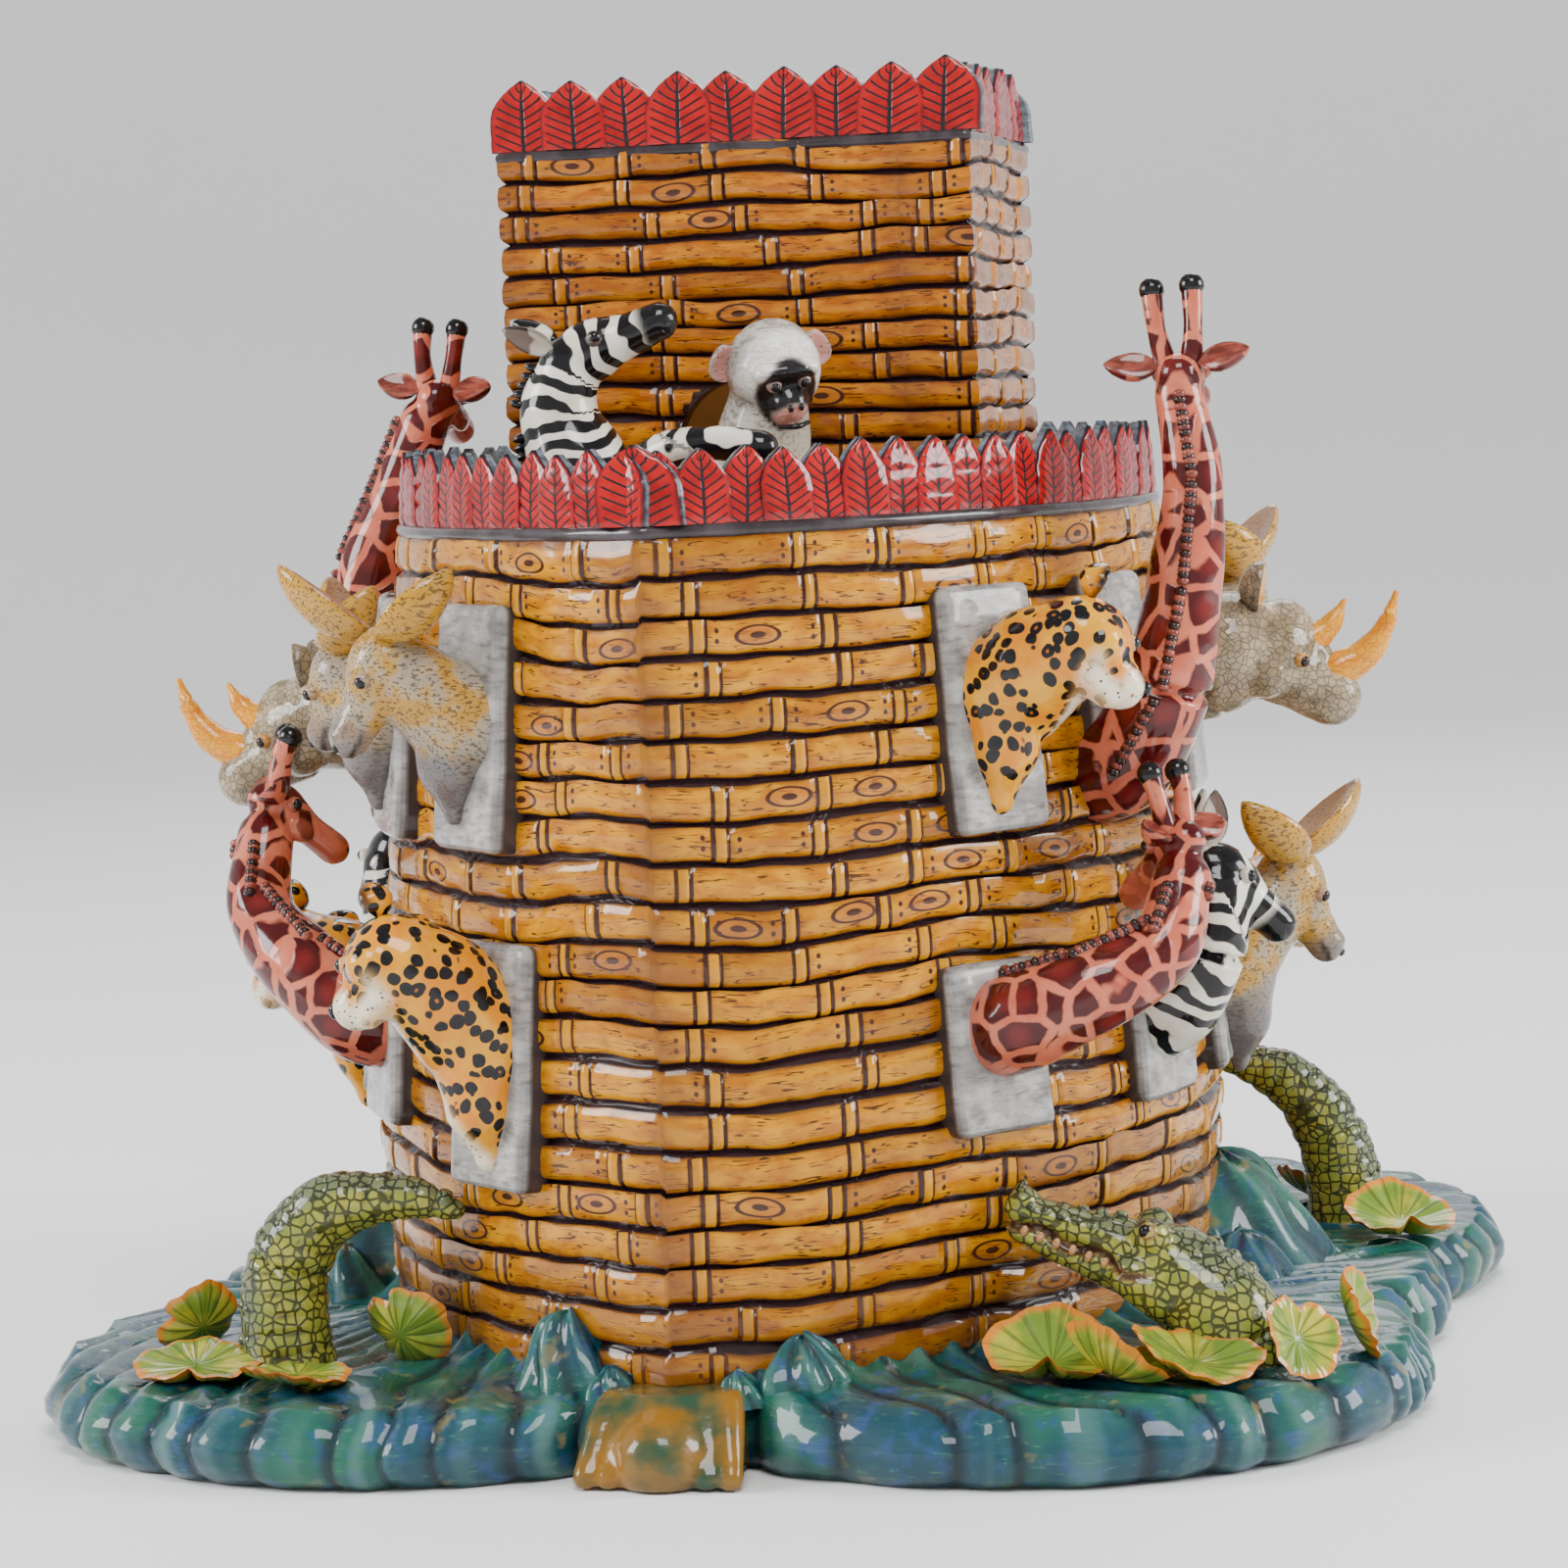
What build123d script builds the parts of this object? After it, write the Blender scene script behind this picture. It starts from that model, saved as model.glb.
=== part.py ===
from build123d import *
import os
from math import atan, cos, degrees, radians, sin, sqrt

# A hand-built ceramic ark on a slab of water, with animals leaning out of its windows.
# Origin: underside of the water slab, under the middle of the hull. +Z up, bow towards -Y,
# starboard +X. Millimetres.

# --- water slab ---
WATER_THICK = 22.0
FORE_PORT_LOBE = (-95.0, -105.0, 118.0)  # x, y, radius; repeated aft to starboard
FORE_STARBOARD_LOBE = (90.0, -97.0, 116.0)  # repeated aft to port
SIDE_LOBE = (105.0, 10.0, 98.0)  # repeated to port
WATER_EDGE = 5.0  # bevel round the top edge
KEEL_RADIUS = 26.0
KEEL_REACH = 222.0  # from the middle to the front of the keel foot

# --- hull: a pointed oval whose two sides are arcs ---
HULL_HALF_LENGTH = 188.0
HALF_BEAM_WATER = 128.0
HALF_BEAM_WIDEST = 132.0
HALF_BEAM_RIM = 117.0
WIDEST_HEIGHT = 80.0
RIM_HEIGHT = 268.0
HULL_WALL = 8.0

# --- rows of upright leaves ---
RIM_LEAF_HEIGHT = 22.0
RIM_LEAF_TIP = 9.0  # height of the pointed part
RIM_LEAF_THICK = 6.5
RIM_LEAVES = 36  # along one side
LEAF_PROUD = 1.0  # how far the leaves stand out past the wall below
PROW_LEAF_RADIUS = 7.0
BAND_HEIGHT = 4.0
BAND_PROUD = 1.6

# --- deck and cabin, which lift off together ---
DECK_TOP = RIM_HEIGHT - 8
DECK_THICK = 5.0
DECK_GAP = 1.2  # all round, to the wall inside the rim
LEDGE_WIDTH = 6.0
LEDGE_THICK = 7.0
STEP_DEPTH = 6.0  # the step under the deck that drops inside the ledge
STEP_GAP = 1.2
CABIN_WIDTH = 146.0
CABIN_LENGTH = 104.0
CABIN_TOP = DECK_TOP + 121
CABIN_WALL = 7.0
CABIN_LEAF_HEIGHT = 22.0
CABIN_LEAF_TIP = 10.0
CABIN_LEAVES_ACROSS = 9
CABIN_LEAVES_ALONG = 6
ARCH_WIDTH = 41.0
ARCH_HEIGHT = 48.0

# --- windows: a flat slab on the hull side, with an animal leaning out of it ---
FRAME_WIDTH = 36.0
FRAME_TALL = 72.0
FRAME_SHORT = 50.0
FRAME_PROUD = 7.0
FRAME_SINK = 9.0  # how far the slab's block runs into the wall before it is cut away
UPPER_ROW = RIM_HEIGHT - 58
LOWER_ROW = 112.0

# --- crocodiles, lily pads and waves on the slab ---
PAD_RADIUS = 16.0
PAD_HEIGHT = 9.0
SMALL = 0.4  # clearance between pieces that lie side by side

TALL, SHORT = FRAME_TALL, FRAME_SHORT
# angle round the side from amidships (bow negative), animal, frame height, how far the head is raised
STARBOARD_UPPER = [
    (-35.5, "leopard", TALL, 0),
    (-18, "tall_giraffe", TALL, 0),
    (1, "rhino", TALL, 0),
    (21, "antelope", TALL, 0),
    (42, "leopard", TALL, 0),
]
PORT_UPPER = [
    (-46, "antelope", TALL, 0),
    (-28, "tucked_antelope", TALL, 0),
    (-10, "rhino", TALL, -14),
    (8, "bowed_giraffe", TALL, 0),
    (30, "leopard", TALL, 0),
]
STARBOARD_LOWER = [
    (-39.5, "curled_giraffe", SHORT, 0),
    (-17.5, "zebra", SHORT, 0),
    (1, "antelope", SHORT, 12),
    (21, "leopard", SHORT, 0),
    (42, "rhino", SHORT, 0),
]
PORT_LOWER = [
    (-51, "leopard", TALL, 14),
    (-29, "curled_giraffe", SHORT, 14),
    (-10, "leopard", SHORT, 0),
    (10, "zebra", SHORT, 0),
    (31, "antelope", SHORT, 0),
]


# ---------------------------------------------------------------- hull lines
def half_beam(z):
    """Half the hull's width at height z, outside the wall."""
    if z <= WIDEST_HEIGHT:
        low, high = WATER_THICK, WIDEST_HEIGHT
        start, end = HALF_BEAM_WATER, HALF_BEAM_WIDEST
    else:
        low, high = WIDEST_HEIGHT, RIM_HEIGHT
        start, end = HALF_BEAM_WIDEST, HALF_BEAM_RIM
    return start + (end - start) * (z - low) / (high - low)


def side_arc(beam):
    """Centre offset and radius of the arc that makes one side."""
    radius = (HULL_HALF_LENGTH**2 + beam**2) / (2 * beam)
    return beam - radius, radius


def oval(beam, z, inset=0.0):
    """The hull's pointed oval, moved in by inset, as a face at height z."""
    centre, radius = side_arc(beam)
    reach = sqrt((radius - inset) ** 2 - centre**2)
    right = ThreePointArc((0, -reach), (beam - inset, 0), (0, reach))
    left = ThreePointArc((0, reach), (inset - beam, 0), (0, -reach))
    return Pos(0, 0, z) * make_face([right, left])


def oval_slab(z, thick, beam, inset):
    return extrude(oval(beam, z, inset), thick)


def oval_shell(inset):
    """The hull's whole outer form, or its hollow when inset is the wall."""
    heights = [WATER_THICK, WIDEST_HEIGHT, RIM_HEIGHT]
    lower = loft([oval(half_beam(z), z, inset) for z in heights[:2]], ruled=True)
    upper = loft([oval(half_beam(z), z, inset) for z in heights[1:]], ruled=True)
    return lower + upper


HULL_FORM = oval_shell(0.0)
HULL_HOLLOW = oval_shell(HULL_WALL)


# ---------------------------------------------------------------- small helpers
def cut(solid, *others):
    for other in others:
        solid = solid - other
    return solid


def slab_above(z, thick=400.0):
    return Pos(0, 0, z + thick / 2) * Box(900, 900, thick)


def above(solid, z):
    """What is left of a solid above height z."""
    return solid & slab_above(z)


def limb(points, radii, neck=0.96):
    """A rounded limb: balls at the points, each with its poles along the limb, joined by cones
    that are a little slimmer."""
    made = None
    for (start, end), (r0, r1) in zip(zip(points, points[1:]), zip(radii, radii[1:])):
        a, b = Vector(*start), Vector(*end)
        cone = Cone(r0 * neck, r1 * neck, (b - a).length) if r0 != r1 else None
        rod = cone or Cylinder(r0 * neck, (b - a).length)
        rod = Plane(origin=(a + b) / 2, z_dir=(b - a)) * rod
        made = rod if made is None else made + rod
    ways = zip(points[:1] + points, points[1:] + points[-1:])
    for point, radius, (before, after) in zip(points, radii, ways):
        along = Vector(*after) - Vector(*before)
        made = made + Plane(origin=point, z_dir=along) * Sphere(radius)
    return made


def spike(root, tip, root_radius, tip_radius=1.0):
    """A horn, an ear or a claw: a blunt cone from root to tip."""
    a, b = Vector(*root), Vector(*tip)
    cone = Cone(root_radius, tip_radius, (b - a).length)
    return Plane(origin=(a + b) / 2, z_dir=(b - a)) * cone


def group(solids):
    return Compound(children=[s for piece in solids for s in Part(piece.wrapped).solids()])


# ---------------------------------------------------------------- the animals
# Each is a list of limbs (points, radii) and spikes (root, tip, root radius, tip radius) at its
# window: x outwards from the hull, y towards the stern, z up. Lift raises the head.
def leopard(lift):
    head = (33, 6, 15 + lift)
    limbs = [
        ([(-8, -1, 4), (12, 0, 8 + lift / 2), head], [19, 18, 18]),
        ([(8, -3, -2), (7, -5, -22)], [13, 6]),
        ([head, (44, 17, 3 + lift)], [13, 9]),
        ([head, (26, 6, 36 + lift)], [7, 5.5]),
        ([head, (37, 18, 28 + lift)], [7, 5.5]),
    ]
    return limbs, []


def tall_giraffe(lift):
    head = (33, -8, 95 + lift)
    neck = [(-9, -7, -25), (10, -8, -20), (26, -10, 17), (33, -7, 60), (31, -8, 90)]
    limbs = [(neck, [15, 14, 12.5, 9.5, 8]), ([head, (22, 16, 86 + lift)], [9.5, 6])]
    ears = [(head, (14, -19, 92), 5.0, 2.5), (head, (50, 2, 94), 5.0, 2.5)]
    horns = [(head, (27, -13, 122), 3.4, 2.6), (head, (38, -4, 122), 3.4, 2.6)]
    return limbs, ears + horns


def bowed_giraffe(lift):
    """It looks aft with its head just over the rim leaves."""
    head = (7, -4, 95 + lift)
    neck = [(-9, -7, -25), (10, -8, -20), (27, -9, 10), (27, -8, 38), (18, -7, 66), (11, -6, 90)]
    limbs = [(neck, [15, 14, 13, 11.5, 9.5, 8.5]), ([head, (8, 18, 90 + lift)], [9, 5.5])]
    ears = [(head, (28, -6, 93), 4.5, 2.5), (head, (6, -23, 101), 4.5, 2.5)]
    horns = [(head, (1, -9, 118), 3.4, 2.6), (head, (5, 3, 119), 3.4, 2.6)]
    return limbs, ears + horns


def rhino(lift):
    limbs = [
        (
            [(-9, 0, 2), (12, 1, 3 + lift / 2), (30, 3, 4 + lift), (48, 5, -11 + lift)],
            [20, 19.5, 18, 11],
        )
    ]
    horns = [
        ((48, 5, -8 + lift), (63, 7, 20 + lift), 6.5, 1.0),
        ((40, 4, 4 + lift), (47, 5, 21 + lift), 5.0, 1.0),
    ]
    ears = [
        ((26, y, 14 + lift), (31, tip, 32 + lift), 5.0, 2.5) for y, tip in ((-7, -10), (13, 16))
    ]
    return limbs, horns + ears


def antelope(lift):
    head = (31, 8, 18 + lift)
    limbs = [
        ([(-7, 1, -3), (13, 2, 4 + lift / 2), head], [16, 14.5, 12]),
        ([(8, 2, -4), (8, 3, -19)], [10, 4.5]),
        ([head, (43, 15, -8 + lift)], [10, 6.5]),
    ]
    ears = [(head, (50, 22, 44 + lift), 6.0, 3.5), (head, (16, -8, 40 + lift), 6.0, 3.5)]
    return limbs, ears


def tucked_antelope(lift):
    """Its head is held close in, so that only the ears rise past its neighbour."""
    head = (19, 7, 12 + lift)
    limbs = [
        ([(-7, 1, -3), (10, 3, 3), head], [15, 14, 11]),
        ([(8, 2, -4), (8, 3, -19)], [10, 4.5]),
        ([head, (25, 14, -8 + lift)], [9, 6]),
    ]
    return limbs, [(head, (22, 18, 40 + lift), 6.0, 3.5), (head, (14, -7, 38 + lift), 6.0, 3.5)]


def curled_giraffe(lift):
    head = (27, 42, 48 + lift)
    neck = [(-9, -16, 4), (12, -6, 7), (27, 14, 15 + lift / 2), (34, 36, 27 + lift)]
    limbs = [
        (neck, [15, 15, 13, 10.5]),
        ([neck[-1], head], [10.5, 9.5]),
        ([head, (14, 27, 41 + lift)], [8, 5.5]),
    ]
    horns = [(head, (25, 38, 70 + lift), 3.2, 2.4), (head, (31, 48, 69 + lift), 3.2, 2.4)]
    ears = [(head, (36, 55, 47 + lift), 4.5, 2.5), (head, (16, 50, 52 + lift), 4.5, 2.5)]
    return limbs, horns + ears


def zebra(lift):
    head = (27, 5, 38)
    limbs = [
        ([(-8, -1, -2), (11, 0, 4), (24, 1, 20), head], [15, 14.5, 12.5, 11]),
        ([head, (38, 22, 24)], [9.5, 6.5]),
    ]
    return limbs, [(head, (20, 0, 58), 4.5, 2.0), (head, (32, 4, 58), 4.5, 2.0)]


ANIMALS = {
    "leopard": leopard,
    "tall_giraffe": tall_giraffe,
    "bowed_giraffe": bowed_giraffe,
    "rhino": rhino,
    "antelope": antelope,
    "tucked_antelope": tucked_antelope,
    "curled_giraffe": curled_giraffe,
    "zebra": zebra,
}


# ---------------------------------------------------------------- windows
LEAN = atan((HALF_BEAM_WIDEST - HALF_BEAM_RIM) / (RIM_HEIGHT - WIDEST_HEIGHT))


def window_plane(angle, z, port):
    """X out of the hull and z up, leaning with the side. Y is towards the stern to starboard."""
    centre, radius = side_arc(half_beam(z))
    turn = radians(180 - angle if port else angle)
    middle = -centre if port else centre
    place = (middle + radius * cos(turn), radius * sin(turn), z)
    out = (cos(LEAN) * cos(turn), cos(LEAN) * sin(turn), sin(LEAN))
    up = (-sin(LEAN) * cos(turn), -sin(LEAN) * sin(turn), cos(LEAN))
    return Plane(origin=place, x_dir=out, z_dir=up)


def window_frame(angle, z, tall, port):
    block = Box(FRAME_PROUD + FRAME_SINK, FRAME_WIDTH, tall)
    block = chamfer(block.edges().filter_by(Axis.X), 2.5)
    block = Pos((FRAME_PROUD - FRAME_SINK) / 2, 0, 0) * block
    return window_plane(angle, z, port) * block - HULL_FORM


def window_animal(kind, angle, z, lift, port):
    """An animal at its window, with its root cut flat where it meets the frame's face."""
    sternward = -1 if port else 1
    limbs, spikes = ANIMALS[kind](lift)
    solid = None
    for points, radii in limbs:
        made = limb([(x, sternward * y, z_up) for x, y, z_up in points], radii)
        solid = made if solid is None else solid + made
    for (x0, y0, z0), (x1, y1, z1), root_radius, tip_radius in spikes:
        root, tip = (x0, sternward * y0, z0), (x1, sternward * y1, z1)
        solid += spike(root, tip, root_radius, tip_radius)
    depth = 100
    solid -= Pos(FRAME_PROUD - depth / 2, 0, 0) * Box(depth, 400, 400)
    return window_plane(angle, z, port) * solid


# ---------------------------------------------------------------- the slab of water
def lobe(x, y, radius):
    return Pos(x, y) * Circle(radius)


def half_turn(x, y, *rest):
    return (-x, -y, *rest)


def water_base():
    plan = Circle(HULL_HALF_LENGTH - 10)
    for placed in (FORE_PORT_LOBE, FORE_STARBOARD_LOBE, SIDE_LOBE):
        plan += lobe(*placed)
        plan += lobe(*half_turn(*placed))
    slab = extrude(plan, WATER_THICK)
    return chamfer(slab.faces().sort_by(Axis.Z)[-1].outer_wire().edges(), WATER_EDGE)


def keel_foot(water):
    plan = Pos(0, -(KEEL_REACH - KEEL_RADIUS)) * Circle(KEEL_RADIUS)
    foot = extrude(plan, WATER_THICK) - water
    return foot.solids().sort_by(Axis.Y)[0]


def splash(x, y, radius, height, *others):
    """A crest of water that climbs the hull side."""
    crest = Pos(x, y, WATER_THICK + height / 2) * Cone(radius, radius * 0.3, height)
    return cut(crest, HULL_FORM, *others)


def lily_pad(x, y, radius=PAD_RADIUS, height=PAD_HEIGHT):
    """A cupped leaf standing on the water."""
    cup = Cone(radius * 0.6, radius, height)
    return Pos(x, y, WATER_THICK + height / 2) * cup


def turned(solid, half):
    return Rot(0, 0, 180) * solid if half else solid


# ---------------------------------------------------------------- crocodiles
def crocodile_head():
    """Its jaws rise out of the water and its snout touches the hull."""
    head = limb([(158, -136, 18), (140, -131, 42), (112, -131, 52)], [15, 14, 11])
    head += limb([(112, -131, 52), (88, -134, 66)], [9.5, 7])
    head += limb([(136, -141, 50), (136, -122, 50)], [6, 6])
    return above(cut(head, HULL_FORM), WATER_THICK)


def crocodile_tail(points, radii):
    return above(cut(limb(points, radii), HULL_FORM), WATER_THICK)


# ---------------------------------------------------------------- leaves
def rim_leaves(port):
    """A curved wall of leaves with their points cut out of its top edge. Port is a half turn."""
    outer = oval_slab(RIM_HEIGHT, RIM_LEAF_HEIGHT, HALF_BEAM_RIM, -LEAF_PROUD)
    inner = oval_slab(RIM_HEIGHT, RIM_LEAF_HEIGHT, HALF_BEAM_RIM, RIM_LEAF_THICK - LEAF_PROUD)
    side = Pos(100, 0, RIM_HEIGHT + RIM_LEAF_HEIGHT / 2) * Box(200, 600, RIM_LEAF_HEIGHT)
    row = (outer - inner) & side
    centre, radius = side_arc(HALF_BEAM_RIM)
    half_angle = degrees(atan(HULL_HALF_LENGTH / -centre))
    pitch = 2 * half_angle / RIM_LEAVES
    notch_half = radius * radians(pitch) / 2 * 0.8
    top = RIM_HEIGHT + RIM_LEAF_HEIGHT
    triangle = make_face(
        Polyline((-notch_half, top + 0.5), (notch_half, top + 0.5), (0, top - RIM_LEAF_TIP), close=True)
    )
    notch = extrude(Plane.YZ * triangle, 3 * RIM_LEAF_THICK)
    notches = []
    for step in range(1, RIM_LEAVES):
        turn = Rot(0, 0, -half_angle + step * pitch)
        reach = Pos(radius - 2 * RIM_LEAF_THICK, 0, 0)
        notches.append(Pos(centre, 0, 0) * turn * reach * notch)
    row = row - notches
    ends = Pos(0, 0, RIM_HEIGHT + RIM_LEAF_HEIGHT / 2) * Box(
        2 * PROW_LEAF_RADIUS, 600, RIM_LEAF_HEIGHT * 2
    )
    return turned(row - ends, port)


def prow_leaf(aft):
    """The larger leaf that wraps the point of the hull."""
    outer = oval_slab(RIM_HEIGHT, RIM_LEAF_HEIGHT + 1.0, HALF_BEAM_RIM, -LEAF_PROUD)
    inner = oval_slab(RIM_HEIGHT, RIM_LEAF_HEIGHT + 1.0, HALF_BEAM_RIM, RIM_LEAF_THICK - LEAF_PROUD)
    corner = Pos(0, -HULL_HALF_LENGTH, RIM_HEIGHT) * Box(
        2 * (PROW_LEAF_RADIUS - SMALL), 60, 4 * RIM_LEAF_HEIGHT
    )
    return turned((outer - inner) & corner, aft)


def rim_band():
    """The narrow dark coil under the leaves."""
    z = RIM_HEIGHT - BAND_HEIGHT
    return oval_slab(z, BAND_HEIGHT, HALF_BEAM_RIM, -BAND_PROUD) - HULL_FORM


def leaf_wall(width, count):
    """A straight row of leaves, standing on z = 0 with its outer face on y = 0."""
    pitch = width / count
    body = CABIN_LEAF_HEIGHT - CABIN_LEAF_TIP
    edge = [(-width / 2, 0), (-width / 2, body)]
    for leaf in range(count):
        left = -width / 2 + leaf * pitch
        edge += [
            (left + 0.25 * pitch, body + 0.75 * CABIN_LEAF_TIP),
            (left + 0.5 * pitch, CABIN_LEAF_HEIGHT),
            (left + 0.75 * pitch, body + 0.75 * CABIN_LEAF_TIP),
            (left + pitch, body),
        ]
    edge += [(width / 2, 0)]
    face = make_face(Polyline(*edge, close=True))
    return extrude(Plane.XZ * face, -(CABIN_WALL + LEAF_PROUD))


# ---------------------------------------------------------------- deck and cabin
def deck():
    """The deck plate, with a step below it that drops inside the ledge and centres it."""
    step_inset = HULL_WALL + LEDGE_WIDTH + STEP_GAP
    bottom = DECK_TOP - DECK_THICK
    plate = oval_slab(bottom, DECK_THICK, HALF_BEAM_RIM, HULL_WALL + DECK_GAP)
    return plate + oval_slab(bottom - STEP_DEPTH, STEP_DEPTH, HALF_BEAM_RIM, step_inset)


def deck_ledge():
    """The shelf inside the hull that the deck rests on."""
    z = DECK_TOP - DECK_THICK - LEDGE_THICK
    belt = Pos(0, 0, z + LEDGE_THICK / 2) * Box(600, 600, LEDGE_THICK)
    hole = oval_slab(z, LEDGE_THICK, HALF_BEAM_RIM, HULL_WALL + LEDGE_WIDTH)
    return (HULL_HOLLOW & belt) - hole


def box_ring(width, length, wall, low, high):
    middle, tall = (low + high) / 2, high - low
    outside = Pos(0, 0, middle) * Box(width, length, tall)
    return outside - Pos(0, 0, middle) * Box(width - 2 * wall, length - 2 * wall, tall)


def cabin_walls():
    walls = box_ring(CABIN_WIDTH, CABIN_LENGTH, CABIN_WALL, DECK_TOP, CABIN_TOP)
    radius = ARCH_WIDTH / 2
    spring = DECK_TOP + ARCH_HEIGHT - radius
    depth = 4 * CABIN_WALL
    door = Pos(0, 0, (DECK_TOP + spring) / 2) * Box(ARCH_WIDTH, depth, spring - DECK_TOP)
    door += Pos(0, 0, spring) * Rot(90, 0, 0) * Cylinder(radius, depth)
    return walls - Pos(0, -CABIN_LENGTH / 2, 0) * door


def cabin_band():
    width, length = CABIN_WIDTH + 2 * BAND_PROUD, CABIN_LENGTH + 2 * BAND_PROUD
    return box_ring(width, length, BAND_PROUD, CABIN_TOP - BAND_HEIGHT, CABIN_TOP)


def cabin_leaves(across, aft):
    """One side's row. The rows across run the full width, and the others fit between them."""
    thick = CABIN_WALL + LEAF_PROUD
    if across:
        row = leaf_wall(CABIN_WIDTH + 2 * LEAF_PROUD, CABIN_LEAVES_ACROSS)
        row = Pos(0, -CABIN_LENGTH / 2 - LEAF_PROUD, CABIN_TOP) * row
        return turned(row, aft)
    row = leaf_wall(CABIN_LENGTH + 2 * LEAF_PROUD - 2 * thick, CABIN_LEAVES_ALONG)
    row = Pos(CABIN_WIDTH / 2 + LEAF_PROUD, 0, CABIN_TOP) * Rot(0, 0, 90) * row
    return turned(row, aft)


def monkey():
    """It sits in the arch with its head turned to starboard."""
    y, z = -CABIN_LENGTH / 2, DECK_TOP
    head = (17, y - 30, z + 53)
    body = limb([(8, y - 22, z - 5), (10, y - 23, z + 22), head], [19, 15, 15.5])
    body += limb([head, (24, y - 41, z + 47)], [9, 7.5])
    for ear in ((0, y - 26, z + 56), (31, y - 22, z + 58)):
        body += Pos(*ear) * Sphere(4.5)
    return above(body, DECK_TOP)


def deck_zebra():
    """It stands on the deck near the bow and looks up over its shoulder."""
    y, z = -CABIN_LENGTH / 2 - 52, DECK_TOP
    neck = [(-36, y, z - 6), (-38, y, z + 24), (-47, y, z + 46)]
    body = limb(neck, [19, 15, 11])
    head = (-37, y, z + 58)
    body += limb([neck[-1], head, (-14, y, z + 66)], [11, 10.5, 6])
    for ear in ((-55, y + 6, z + 65), (-54, y - 7, z + 66)):
        body += spike((-42, y, z + 58), ear, 5.0, 2.0)
    body += limb([(-30, y - 8, z + 22), (-12, y - 28, z + 27), (22, y - 31, z + 27)], [9, 5.5, 4.5])
    return above(body, DECK_TOP)


# ---------------------------------------------------------------- the assembly
parts = {}
water = water_base()
keel = keel_foot(water)
parts["water_base"] = water
parts["keel_fore"] = keel
parts["keel_aft"] = turned(keel_foot(turned(water, True)), True)
parts["hull_shell"] = HULL_FORM - HULL_HOLLOW
parts["rim_band"] = rim_band()
parts["deck_ledge"] = deck_ledge()
for side, port in (("starboard", False), ("port", True)):
    parts[f"rim_leaves_{side}"] = rim_leaves(port)
parts["prow_leaf"] = prow_leaf(False)
parts["stern_leaf"] = prow_leaf(True)

ROWS = {
    "starboard_upper": (STARBOARD_UPPER, UPPER_ROW, False),
    "port_upper": (PORT_UPPER, UPPER_ROW, True),
    "starboard_lower": (STARBOARD_LOWER, LOWER_ROW, False),
    "port_lower": (PORT_LOWER, LOWER_ROW, True),
}
for row, (windows, height, port) in ROWS.items():
    frames = [window_frame(angle, height, tall, port) for angle, _, tall, _ in windows]
    parts[f"window_frames_{row}"] = group(frames)
    for number, (angle, kind, _, lift) in enumerate(windows, 1):
        parts[f"{kind}_{row}_{number}"] = window_animal(kind, angle, height, lift, port)

jaws = crocodile_head()
parts["crocodile_head_fore"] = jaws
parts["crocodile_head_aft"] = turned(jaws, True)
fore_tail = crocodile_tail(
    [(-126, -150, 16), (-126, -150, 52), (-114, -151, 68), (-90, -152, 70), (-80, -150, 68)],
    [13, 12.5, 11, 6.5, 4],
)
parts["crocodile_tail_fore"] = cut(fore_tail, parts["window_frames_port_lower"])
parts["crocodile_tail_aft"] = crocodile_tail(
    [(162, 86, 14), (162, 86, 50), (152, 82, 66), (128, 75, 78)], [12, 11.5, 10, 5]
)
parts["lily_pads_fore_starboard"] = group(
    [lily_pad(104, -160), lily_pad(137, -168), lily_pad(186, -124, 12, 14)]
)
parts["lily_pads_fore_port"] = group(
    [lily_pad(-150, -168), lily_pad(-115, -180, 15), lily_pad(-160, -135, 12, 12)]
)
parts["lily_pads_aft_starboard"] = group([lily_pad(184, 56, 17), lily_pad(150, 122, 14)])
parts["lily_pads_aft_port"] = turned(group([lily_pad(104, -160), lily_pad(137, -168)]), True)
parts["wave_starboard"] = splash(134, 22, 34, 36)
parts["wave_port"] = turned(parts["wave_starboard"], True)
crests = [splash(-34, 18 - HULL_HALF_LENGTH, 17, 22), splash(34, 16 - HULL_HALF_LENGTH, 15, 16)]
parts["splash_crests_fore"] = group(crests)
parts["splash_crests_aft"] = turned(group(crests), True)

parts["deck"] = deck()
parts["cabin_walls"] = cabin_walls()
parts["cabin_band"] = cabin_band()
for name, across, aft in (
    ("fore", True, False),
    ("aft", True, True),
    ("starboard", False, False),
    ("port", False, True),
):
    parts[f"cabin_leaves_{name}"] = cabin_leaves(across, aft)
parts["monkey"] = monkey()
parts["deck_zebra"] = deck_zebra()

os.makedirs("parts", exist_ok=True)
for name, part in parts.items():
    part.label = name
    export_step(part, f"parts/{name}.step")
print(len(parts), "parts")
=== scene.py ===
import math
import random

import bpy
import numpy as np
from mathutils import Matrix, Vector, noise


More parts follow.
